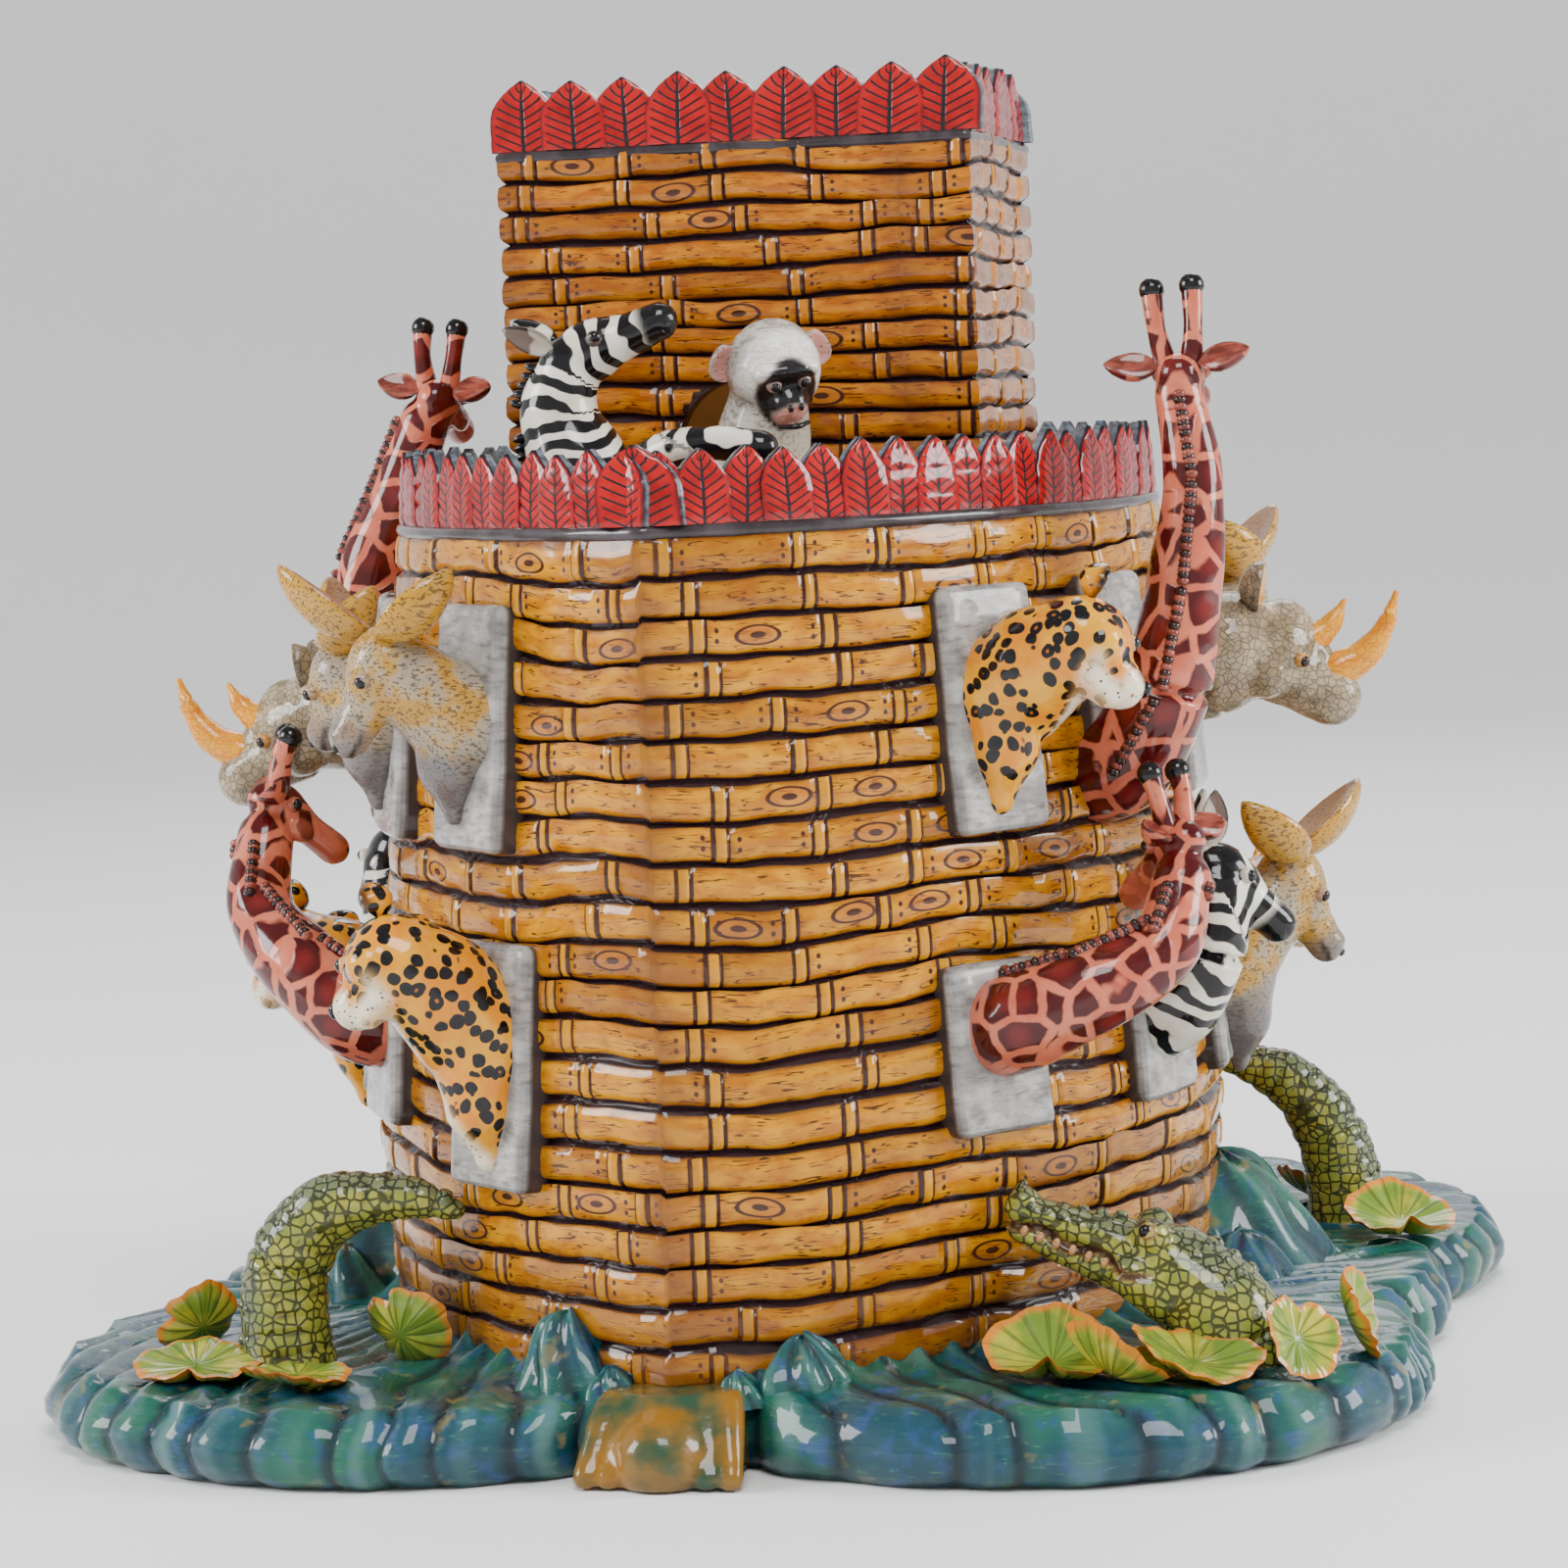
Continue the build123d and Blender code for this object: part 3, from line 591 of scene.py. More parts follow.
def studio():
    lens_px, turn = CAMERA_LENS / 36 * PICTURE, CAMERA_TURN
    bpy.ops.object.camera_add()
    camera = bpy.context.active_object
    camera.data.sensor_width = 36
    camera.data.lens = CAMERA_LENS
    place = Vector((math.sin(turn) * CAMERA_AWAY, -math.cos(turn) * CAMERA_AWAY, CAMERA_HIGH))
    look = Vector((-math.sin(turn), math.cos(turn), 0))
    right = Vector((math.cos(turn), math.sin(turn), 0))
    pitch = math.atan(LOOK_DOWN / lens_px)
    yaw = math.atan(LOOK_LEFT / lens_px)
    ahead = (look * math.cos(yaw) - right * math.sin(yaw)).normalized()
    ahead = (ahead * math.cos(pitch) - UP * math.sin(pitch)).normalized()
    side = ahead.cross(UP).normalized()
    top = side.cross(ahead)
    roll = CAMERA_ROLL
    x_axis = side * math.cos(roll) - top * math.sin(roll)
    y_axis = top * math.cos(roll) + side * math.sin(roll)
    turn_matrix = Matrix((x_axis, y_axis, -ahead)).transposed().to_4x4()
    camera.matrix_world = Matrix.Translation(place) @ turn_matrix
    bpy.context.scene.camera = camera
    sweep = [a * math.pi / 16 for a in range(9)]
    profile = [(2.6 + 1.4 * math.sin(a), 1.4 - 1.4 * math.cos(a)) for a in sweep]
    rings = [(0.0, 0.0), *profile, (4.0, 3.2)]
    floor = sheet("studio_floor", 97, len(rings))
    move_points(floor, [(r * math.cos(i * math.pi / 48), r * math.sin(i * math.pi / 48), z - 0.5 * MM)
                        for r, z in rings for i in range(97)])
    weld(floor)
    pick(floor)
    bpy.ops.object.mode_set(mode="EDIT")
    bpy.ops.mesh.select_all(action="SELECT")
    bpy.ops.mesh.flip_normals()
    bpy.ops.object.mode_set(mode="OBJECT")
    smooth(floor, 60)
    p = Paint("studio_white")
    p.shader.inputs["Base Color"].default_value = (0.9, 0.9, 0.9, 1)
    p.shader.inputs["Roughness"].default_value = 0.8
    p.shader.inputs["Specular IOR Level"].default_value = 0.1
    floor.data.materials.append(p.material)
    world = bpy.data.worlds.new("studio")
    world.use_nodes = True
    world.node_tree.nodes["Background"].inputs[0].default_value = (1, 1, 1, 1)
    world.node_tree.nodes["Background"].inputs[1].default_value = 0.42
    bpy.context.scene.world = world
    for place, size, power in LAMPS:
        bpy.ops.object.light_add(type="AREA", location=place)
        lamp = bpy.context.active_object
        lamp.data.size = size
        lamp.data.energy = power
        aim = Vector((0, 0, 0.2)) - Vector(place)
        lamp.rotation_euler = aim.to_track_quat("-Z", "Y").to_euler()


# ------------------------------------------------------------ clay shapes, worked in millimetres
def tube(points, radii, around=20, steps=6, squash=1.0, name="limb"):
    """A limb along a smooth line through the points, rounded at both ends."""
    pts = [Vector(p) for p in points]
    ends = [pts[0] * 2 - pts[1]] + pts + [pts[-1] * 2 - pts[-2]]
    sizes = [radii[0], *radii, radii[-1]]
    line, size = [], []
    for i in range(len(pts) - 1):
        a, b, c, d = ends[i : i + 4]
        for s in range(steps + (i == len(pts) - 2)):
            t = s / steps
            bend = (a * 2 - b * 5 + c * 4 - d) * t * t + (b * 3 - a - c * 3 + d) * t**3
            line.append((b * 2 + (c - a) * t + bend) / 2)
            t = t * t * (3 - 2 * t)
            size.append(sizes[i + 1] * (1 - t) + sizes[i + 2] * t)
    rings = []
    first = (line[1] - line[0]).normalized()
    last = (line[-1] - line[-2]).normalized()
    for share in (1.0, 0.95, 0.75, 0.4):
        rings.append((line[0] - first * size[0] * share, size[0] * math.sqrt(1.0001 - share**2), first))
    for i, p in enumerate(line):
        way = (line[min(i + 1, len(line) - 1)] - line[max(i - 1, 0)]).normalized()
        rings.append((p, size[i], way))
    for share in (0.4, 0.75, 0.95, 1.0):
        rings.append((line[-1] + last * size[-1] * share, size[-1] * math.sqrt(1.0001 - share**2), last))
    o = sheet(name, around + 1, len(rings))
    co = []
    for p, r, way in rings:
        side = way.cross(UP if abs(way.z) < 0.9 else Vector((0, 1, 0))).normalized()
        top = side.cross(way)
        for i in range(around + 1):
            a = 2 * math.pi * i / around
            co.append(p + side * (r * math.cos(a)) + top * (r * squash * math.sin(a)))
    move_points(o, np.array(co) * MM)
    weld(o, 0.02 * MM)
    return o


def ball(centre, radii, segments=20, turn=None, name="lump"):
    """A round lump; radii is one number or three, turn a matrix."""
    deselect()
    bpy.ops.mesh.primitive_uv_sphere_add(segments=segments, ring_count=segments // 2, radius=1)
    o = named(name)
    scale = Matrix.Diagonal(radii if hasattr(radii, "__len__") else (radii,) * 3)
    spin = (turn or Matrix.Identity(3)) @ scale
    o.data.transform(Matrix.Translation(Vector(centre) * MM) @ Matrix.Scale(MM, 4) @ spin.to_4x4())
    return o


def fuse(name, objs, voxel=1.25, rounds=4):
    """Presses the lumps together into one skin and strokes it smooth."""
    o = joined(name, objs)
    o.data.remesh_voxel_size = voxel * MM
    bpy.ops.object.voxel_remesh()
    bpy.ops.object.mode_set(mode="EDIT")
    bpy.ops.mesh.select_all(action="SELECT")
    bpy.ops.mesh.vertices_smooth(factor=0.5, repeat=rounds)
    bpy.ops.object.mode_set(mode="OBJECT")
    return o


def normals_of(o):
    n = np.empty(len(o.data.vertices) * 3, np.float32)
    o.data.vertices.foreach_get("normal", n)
    return n.reshape(-1, 3).astype(float)


def near_line(co, points):
    """How far each point is from a bent line, and how far along the line it lies."""
    best, along, start = np.full(len(co), 1e9), np.zeros(len(co)), 0.0
    for a, b in zip(points, points[1:]):
        a, b = np.array(a, float), np.array(b, float)
        length = np.linalg.norm(b - a)
        t = np.clip((co - a) @ (b - a) / length**2, 0, 1)
        far = np.linalg.norm(co - a - t[:, None] * (b - a), axis=1)
        closer = far < best
        best[closer] = far[closer]
        along[closer] = start + t[closer] * length
        start += length
    return best, along


def fade(value, low, high):
    t = np.clip((value - low) / (high - low), 0, 1)
    return t * t * (3 - 2 * t)


def tag(o, dark=0.0, pale=0.0, extra=0.0, along=0.0):
    """Paint marks for a clay piece: dark places, pale places, a third one, and how far along it is."""
    co = points_of(o) / MM
    mark_vector(o, "skin", co)
    marks = np.zeros((len(co), 3))
    marks[:, 0], marks[:, 1], marks[:, 2] = dark, pale, extra
    mark_vector(o, "paint", marks)
    mark(o, "along", np.zeros(len(co)) + along)
    return o


class Head:
    """Where things sit on a head: ahead, to its side, and up, in millimetres."""

    def __init__(self, centre, aim, roll=0.0):
        self.centre = Vector(centre)
        self.ahead = (Vector(aim) - self.centre).normalized()
        side = self.ahead.cross(UP).normalized()
        spin = Matrix.Rotation(math.radians(roll), 3, self.ahead)
        self.side = spin @ side
        self.up = self.side.cross(self.ahead)

    def __call__(self, ahead, side, up):
        return self.centre + self.ahead * ahead + self.side * side + self.up * up

    def matrix(self):
        return Matrix((self.ahead, self.side, self.up)).transposed()


def pair(head, ahead, side, up):
    return head(ahead, side, up), head(ahead, -side, up)


def eyes(head, ahead, side, up, radius=2.0, rim=True):
    made = []
    for place in pair(head, ahead, side, up):
        if rim:
            made.append(tag(ball(place, radius * 1.3, 12), extra=0.5, pale=0.3))
        way = (place - head.centre).normalized()
        made.append(tag(ball(place + way * radius * 0.55, radius, 12), dark=1.0))
    return made


def ear(root, tip, width, facing, thick=2.4, rim_dark=0.0):
    """A cupped leaf-shaped ear. Extra is 1 inside the cup."""
    root, tip = Vector(root), Vector(tip)
    long_way = tip - root
    length = long_way.length
    long_way.normalize()
    across = long_way.cross(Vector(facing)).normalized()
    out = across.cross(long_way).normalized()
    o = ball((0, 0, 0), 1.0, 20, name="ear")
    co = points_of(o) / MM
    t = (co[:, 0] + 1) / 2
    shape = np.sin(np.pi * np.clip(t, 0, 1) ** 0.8) ** 0.7
    wide = co[:, 1] / np.maximum(1e-3, np.sqrt(np.maximum(1e-6, 1 - co[:, 0] ** 2)))
    wide = np.clip(wide, -1, 1)
    front = co[:, 2] > 0
    thickness = co[:, 2] * thick
    cup = (1 - wide**2) * width * 0.55 * shape
    new = (
        np.array(root)
        + np.outer(t * length, long_way)
        + np.outer(wide * shape * width, across)
        + np.outer(thickness - cup, out)
    )
    move_points(o, new * MM)
    outward(o)
    edge = fade(np.abs(wide), 0.75, 0.98)
    inside = front * (1 - edge)
    tag(o, dark=np.maximum(rim_dark * edge, rim_dark * fade(t, 0.85, 1.0)), extra=inside, along=100.0)
    return o


def horn(points, radii, name="horn", **marks):
    return tag(tube(points, radii, 14, 5, name=name), **marks)


def sink(o, floor=-3.0):
    """Flattens the back of a neck where it goes into its frame."""
    co = points_of(o)
    co[:, 0] = np.maximum(co[:, 0], floor * MM)
    move_points(o, co)
    return o


# ------------------------------------------------------------ the animals, out of the window along x
def make_leopard(lift):
    centre = Vector((33, 11, 16 + lift))
    h = Head(centre, centre + Vector((9, 11, -12)), -38)
    skin = fuse("leopard", [
        tube([(-8, 4, 1), (6, 4, 4 + lift * 0.3), (18, 6, 11 + lift * 0.7), (30, 9, 15 + lift)],
             [15.5, 18, 17.5, 15]),
        ball(centre, (15, 14, 14), turn=h.matrix()),
        tube([h(6, 0, -3), h(15, 0, -5)], [9.5, 7.5]),
        tube([h(6, 0, -8), h(13, 0, -10)], [7, 5]),
        ball(h(3, 9, -4), 7), ball(h(3, -9, -4), 7),
        tube([h(5, 0, 6), h(14, 0, -1)], [6, 4]),
        tube([(8, 1, 2), (9, -1, -12), (6, -2, -27)], [15, 10.5, 4.5]),
    ])
    co = points_of(skin) / MM
    to = (co - np.array(centre)) @ np.array(h.matrix())
    muzzle = fade(to[:, 0], 12, 17) * fade(-to[:, 2], 1, 5)
    chin = fade(-to[:, 2], 8, 11) * fade(to[:, 0], 0, 6) * fade(16 + to[:, 2], 0, 3)
    near_nose = fade(2.3 - np.linalg.norm(to - (20, 0, -1.5), axis=1) * 0.5, 0, 0.8)
    tag(sink(skin), pale=np.maximum(muzzle, chin), dark=near_nose)
    parts = [skin, tag(ball(h(21.5, 0, -1.5), (2.6, 3.2, 2.2), 12, h.matrix()), dark=1)]
    parts += eyes(h, 10.5, 7, 4, 2.1)
    for side in (1, -1):
        root, tip = h(-5, 8 * side, 9), h(-7, 12 * side, 20)
        parts.append(ear(root, tip, 6.5, h.ahead, 3.0, 0.9))
    return joined("leopard", parts)


def giraffe_parts(name, line, radii, h, snout, mane_way, ears_at, horn_tips):
    """What both giraffes share: neck, head, mane, ears and dark-tipped horns."""
    skin = fuse(name, [
        tube(line, radii, 22, 8),
        ball(h.centre, (10, 7.5, 7.5), turn=h.matrix()),
        tube([h(4, 0, -1), h(snout * 0.6, 0, -3), h(snout, 0, -5)], [7, 5, 5.2]),
        ball(h(snout, 0, -6), (4.5, 5.2, 3.5), turn=h.matrix()),
    ], 1.15, 3)
    co = points_of(skin) / MM
    _, along = near_line(co, line)
    near_snout = fade(13 - np.linalg.norm(co - np.array(h(snout, 0, -5)), axis=1), 0, 5)
    tag(sink(skin), along=along, pale=near_snout * 0.8)
    parts = [skin]
    for side in (1, -1):
        parts.append(tag(ball(h(8, 5 * side, -4), (6, 2.5, 4), 14, h.matrix()), pale=0.3))
        horn_line = [h(-2, 4 * side, 5), h(-5, 5.5 * side, 14), h(-6, 6 * side, horn_tips)]
        parts.append(horn(horn_line, [3.4, 2.8, 3.2]))
        parts.append(tag(ball(h(-6, 6 * side, horn_tips + 1), 3.9, 14), dark=1))
        parts.append(ear(h(-4, 6 * side, 3), h(-6, ears_at * side, 5), 5.5, h.up * 0.6 - h.ahead, 2.2, 0.25))
        parts.append(tag(ball(h(snout + 3.5, 2.4 * side, -3.5), 1.0, 8), dark=1))
    parts += eyes(h, 4, 6.3, 2.5, 2.0)
    # the mane: a bristly strip along the top of the neck
    pts = [Vector(p) for p in line]
    total = sum((b - a).length for a, b in zip(pts, pts[1:]))
    count, bristles = int(total / 1.7), []
    for i in range(2, count):
        at = (i + 0.3 * math.sin(i * 7.3)) * total / count
        for a, b, ra, rb in zip(pts, pts[1:], radii, radii[1:]):
            if at <= (b - a).length:
                break
            at -= (b - a).length
        t = min(1, at / (b - a).length)
        place, r = a.lerp(b, t), ra + (rb - ra) * t
        way = (b - a).normalized()
        up = mane_way(place)
        up = (up - way * up.dot(way)).normalized()
        if place.x < 6:
            continue
        spin = Matrix((way, way.cross(up), up)).transposed()
        bristle = ball(place + up * (r - 0.3), (1.6, 2.1, 2.5 + 0.2 * math.sin(i * 2.4)), 8, spin)
        bristles.append(tag(bristle, extra=1, dark=0.9 * (i % 2)))
    return joined(name, parts + bristles)


def make_tall_giraffe(lift):
    line = [(-9, -7, -25), (8, -8, -20), (24, -9, 0), (33, -7, 30), (38, -4, 60), (35, -1, 86)]
    h = Head((35, 1, 91), (27, 26, 84))
    return giraffe_parts("tall_giraffe", line, [15.5, 15.5, 14, 11.5, 9, 7.5], h, 20,
                         lambda p: Vector((0.45, -1, 0.1)), 22, 25)


def make_bowed_giraffe(lift):
    line = [(-9, -7, -25), (10, -8, -20), (27, -9, 10), (27, -8, 38), (18, -7, 66), (11, -6, 88)]
    h = Head((7, -4, 95), (8, 18, 90))
    return giraffe_parts("bowed_giraffe", line, [15.5, 15, 13.5, 12, 9.5, 8.5], h, 21,
                         lambda p: Vector((0.8, -0.4, 0.3)), 20, 22)


def make_curled_giraffe(lift):
    line = [(-8, 6, 3), (12, 2, 7), (28, 15, 14 + lift * 0.4), (38, 36, 24 + lift * 0.8), (35, 49, 43 + lift)]
    h = Head((31, 52, 53 + lift), (8, 50, 43 + lift))

    def mane_way(p):
        return Vector((0.25, -0.1, 1)) if p.z < 38 + lift else Vector((1, 0.8, 0.4))

    return giraffe_parts("curled_giraffe", line, [14, 15, 13, 10.5, 9], h, 22, mane_way, 17, 20)


def make_rhino(lift):
    centre = Vector((32, 4, 5 + lift))
    h = Head(centre, (52, 6, -9 + lift))
    skin = fuse("rhino", [
        tube([(-8, 0, 2), (8, 1, 4 + lift * 0.2), (20, 2, 6 + lift * 0.7), (32, 4, 5 + lift)],
             [16, 19.5, 19, 15]),
        ball(centre, (17, 13, 14), turn=h.matrix()),
        tube([h(6, 0, -3), h(16, 0, -4), h(24, 0, -4)], [12.5, 10, 9.5]),
        ball(h(24, 0, -8), (6.5, 8.5, 5.5), turn=h.matrix()),
        tube([h(0, 0, 8), h(14, 0, 4)], [9, 6]),
        ball(h(2, 9, -7), 8), ball(h(2, -9, -7), 8),
    ], 1.25, 3)
    co, n = points_of(skin) / MM, normals_of(skin)
    waves = [math.sin(p[0] * 0.55 + 2.5 * ripple(p[1] * 0.1, p[2] * 0.09, p[0] * 0.05)) for p in co]
    wrinkle = np.array([max(0.0, w) ** 4 for w in waves])
    neck = fade(24 - co[:, 0], 0, 8)
    move_points(skin, (co + n * (1.6 * wrinkle * neck)[:, None] * -1) * MM)
    tag(sink(skin), dark=0.55 * wrinkle * neck)
    parts = [skin]
    parts.append(horn([h(21, 0, 3), h(27, 0, 13), h(28, 0, 24), h(26, 0, 34)], [6.5, 5, 3, 0.9], extra=1))
    parts.append(horn([h(10, 0, 8), h(13, 0, 16), h(13, 0, 24)], [5.5, 3.6, 0.9], extra=1))
    for side in (1, -1):
        parts.append(ear(h(-9, 8 * side, 9), h(-15, 13 * side, 23), 7, h.ahead, 3.2, 0.5))
        parts.append(tag(ball(h(29, 4.5 * side, -3), (2.0, 1.6, 2.2), 10), dark=1))
    parts += eyes(h, 10, 11.2, 2, 1.9)
    return joined("rhino", parts)


def antelope_parts(neck, radii, h, snout, ear_tips):
    skin = fuse("antelope", [
        tube(neck, radii),
        ball(h.centre, (12, 10, 11), turn=h.matrix()),
        tube([h(4, 0, 0), h(snout * 0.55, 0, -1), h(snout, 0, -1)], [10, 7.5, 6]),
        ball(h(snout, 0, 0), (5, 6.5, 5.5), turn=h.matrix()),
        tube([(9, 1, 0), (10, 2, -12), (8, 3, -26)], [14, 10, 3]),
    ])
    co = points_of(skin) / MM
    to = (co - np.array(h.centre)) @ np.array(h.matrix())
    mouth = fade(1.2 - np.abs(to[:, 2] + 4), 0, 1) * fade(to[:, 0], snout - 5, snout - 2)
    tag(sink(skin), pale=fade(to[:, 0], snout - 8, snout - 2), dark=mouth * 0.9,
        along=fade(-co[:, 2], 2, 14))
    parts = [skin]
    for side, tip in zip((1, -1), ear_tips):
        parts.append(ear(h(-6, 7 * side, 6), tip, 9.5, -h.ahead, 4.0, 0.0))
        parts.append(tag(ball(h(snout + 4, 2.8 * side, 1), (1.4, 1.2, 1.6), 8), dark=1))
    parts += eyes(h, 7, 8.6, 3, 2.0)
    return joined("antelope", parts)


def make_antelope(lift):
    h = Head((30, 6, 18 + lift), (41, 13, -8 + lift))
    neck = [(-9, 1, -2), (6, 1, 2 + lift * 0.3), (19, 3, 10 + lift * 0.7), (30, 6, 18 + lift)]
    return antelope_parts(neck, [15.5, 16.5, 13.5, 11], h, 24,
                          (Vector((20, -14, 46 + lift)), Vector((53, 30, 46 + lift))))


def make_tucked_antelope(lift):
    h = Head((19, 7, 12), (24, 13, -8))
    return antelope_parts([(-9, 1, -2), (4, 2, 2), (12, 5, 8), (19, 7, 12)], [16, 15, 12.5, 10.5], h, 19,
                          (Vector((14, -9, 40)), Vector((22, 20, 42))))


def zebra_parts(name, line, radii, h, others, mane_way, sunk=True):
    skin = fuse(name, [
        tube(line, radii, 22, 8),
        ball(h.centre, (12, 8.5, 9.5), turn=h.matrix()),
        tube([h(4, 0, 0), h(14, 0, -2), h(23, 0, -3)], [8.5, 6.5, 5.8]),
        ball(h(23, 0, -5), (4.5, 5.4, 4.0), turn=h.matrix()),
    ] + others, 1.15, 3)
    co = points_of(skin) / MM
    _, along = near_line(co, line + [tuple(h(24, 0, -3))])
    if sunk:
        sink(skin)
    near_snout = fade(12 - np.linalg.norm(co - np.array(h(25, 0, -4)), axis=1), 0, 4)
    tag(skin, along=along, dark=near_snout)
    parts = [skin]
    for side in (1, -1):
        facing = h.ahead * -0.4 + h.side * side
        parts.append(ear(h(-8, 5 * side, 6), h(-17, 7 * side, 20), 4.2, facing, 2.2, 0.8))
        parts.append(tag(ball(h(26, 2.6 * side, -2), 1.2, 8), dark=1))
    parts += eyes(h, 5, 7.2, 3.2, 2.0)
    pts = [Vector(p) for p in line]
    for a, b, ra, rb in zip(pts[1:], pts[2:], radii[1:], radii[2:]):
        count = int((b - a).length / 2.6)
        for i in range(count):
            t = i / count
            way = (b - a).normalized()
            up = mane_way - way * mane_way.dot(way)
            up.normalize()
            spin = Matrix((way, way.cross(up), up)).transposed()
            root = a.lerp(b, t) + up * (ra + (rb - ra) * t)
            parts.append(tag(ball(root, (1.6, 2.2, 3.6), 8, spin), dark=1))
    return joined(name, parts)


def make_zebra(lift):
    h = Head((27, 5, 40), (44, 20, 22))
    return zebra_parts("zebra", [(-9, -1, -2), (8, 0, 3), (21, 1, 18), (26, 3, 36)], [15.5, 15, 12.5, 10], h,
                       [], Vector((-0.3, -1, 0.6)))


MAKERS = {"leopard": make_leopard, "tall_giraffe": make_tall_giraffe, "rhino": make_rhino,
          "bowed_giraffe": make_bowed_giraffe, "tucked_antelope": make_tucked_antelope,
          "antelope": make_antelope, "curled_giraffe": make_curled_giraffe, "zebra": make_zebra}
TALL, SHORT = 72, 50  # heights of a window slab
# each window's place round the hull's side in degrees, its animal, its height, and how far the head is raised
STARBOARD_UPPER = ((-35.5, "leopard", TALL, 0), (-18, "tall_giraffe", TALL, 0), (1, "rhino", TALL, 0),
                   (21, "antelope", TALL, 0), (42, "leopard", TALL, 0))
PORT_UPPER = ((-46, "antelope", TALL, 0), (-28, "tucked_antelope", TALL, 0), (-10, "rhino", TALL, -14),
              (8, "bowed_giraffe", TALL, 0), (30, "leopard", TALL, 0))
STARBOARD_LOWER = ((-39.5, "curled_giraffe", SHORT, 0), (-17.5, "zebra", SHORT, 0),
                   (1, "antelope", SHORT, 12), (21, "leopard", SHORT, 0), (42, "rhino", SHORT, 0))
PORT_LOWER = ((-51, "leopard", TALL, 14), (-29, "curled_giraffe", SHORT, 14), (-10, "leopard", SHORT, 0),
              (10, "zebra", SHORT, 0), (31, "antelope", SHORT, 0))
UPPER_ROW, LOWER_ROW = 210, 112
ROWS = (("starboard", "upper", UPPER_ROW, STARBOARD_UPPER), ("port", "upper", UPPER_ROW, PORT_UPPER),
        ("starboard", "lower", LOWER_ROW, STARBOARD_LOWER), ("port", "lower", LOWER_ROW, PORT_LOWER))
LEAN = math.atan(15 / 188)  # of the hull's side above its widest


def window_place(angle, z, port):
    """Where a window's middle is, the way out of it, the way sternward and the way up, in metres."""
    centre, radius = side_arc(z * MM)
    a = math.radians(angle)
    side = -1 if port else 1
    place = Vector((side * (centre + radius * math.cos(a)), radius * math.sin(a), z * MM))
    out = Vector((side * math.cos(LEAN) * math.cos(a), math.cos(LEAN) * math.sin(a), math.sin(LEAN)))
    up = Vector((-side * math.sin(LEAN) * math.cos(a), -math.sin(LEAN) * math.sin(a), math.cos(LEAN)))
    stern = Vector((-side * math.sin(a), math.cos(a), 0))
    return place, out, stern, up


def set_in_window(o, angle, z, port):
    place, out, stern, up = window_place(angle, z, port)
    move_points(o, points_of(o) @ np.array([out, stern, up]) + np.array(place))
    outward(o)


def duplicate(o, name):
    pick(o)
    bpy.ops.object.duplicate()
    return named(name)


def finish_piece(o, material, node, body="ark", angle=60):
    smooth(o, angle)
    o.data.materials.clear()
    o.data.materials.append(material)
    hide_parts(node)
    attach(o, body)


def fill_windows(coats):
    made = {}
    for side, row, z, windows in ROWS:
        port = side == "port"
        slabs = []
        for number, (angle, kind, tall, lift) in enumerate(windows, 1):
            if (kind, lift) not in made:
                made[kind, lift] = MAKERS[kind](lift)
            name = f"{kind}_{side}_{row}_{number}"
            animal = duplicate(made[kind, lift], name + "_clay")
            set_in_window(animal, angle, z, port)
            species = kind.split("_")[-1]
            finish_piece(animal, coats[species], name)
            slab = window_slab(tall, number)
            set_in_window(slab, angle, z, port)
            slabs.append(slab)
        frames = joined(f"window_slabs_{side}_{row}", slabs)
        finish_piece(frames, coats["frame"], f"window_frames_{side}_{row}")
    for o in made.values():
        pick(o)
        bpy.ops.object.delete()


def window_slab(tall, seed):
    """A hand-cut slab: soft edges, a slightly uneven face, standing 7 mm out of the planks."""
    deselect()
    bpy.ops.mesh.primitive_cube_add(size=1)
    o = named("slab")
    o.data.transform(Matrix.Diagonal((15 * MM, 36 * MM, tall * MM, 1)))
    o.data.transform(Matrix.Translation((-0.5 * MM, 0, 0)))
    bpy.ops.object.mode_set(mode="EDIT")
    bpy.ops.mesh.select_all(action="SELECT")
    bpy.ops.mesh.bevel(offset=3.2 * MM, segments=3, affect="EDGES")
    bpy.ops.mesh.select_all(action="SELECT")
    bpy.ops.mesh.subdivide(number_cuts=5)
    bpy.ops.object.mode_set(mode="OBJECT")
    co = points_of(o) / MM
    side_edge = fade(np.abs(co[:, 1]), 13.5, 17.5)
    edge = np.maximum(side_edge, fade(np.abs(co[:, 2]), tall / 2 - 4, tall / 2 - 0.6))
    side = fade(6.2 - co[:, 0], 0, 4)
    for k, p in enumerate(co):
        face = 0.8 * ripple(p[1] * 0.06 + seed * 7, p[2] * 0.06, p[0] * 0.02) if p[0] > 4 else 0
        aside, rise = ripple(p[2] * 0.05, seed * 3.1, 1.0), ripple(p[1] * 0.06, seed * 5.3, 2.0)
        co[k] += (face, 0.9 * aside, 0.7 * rise)
    move_points(o, co * MM)
    tag(o, dark=np.maximum(edge * 0.45, side), extra=edge)
    return o


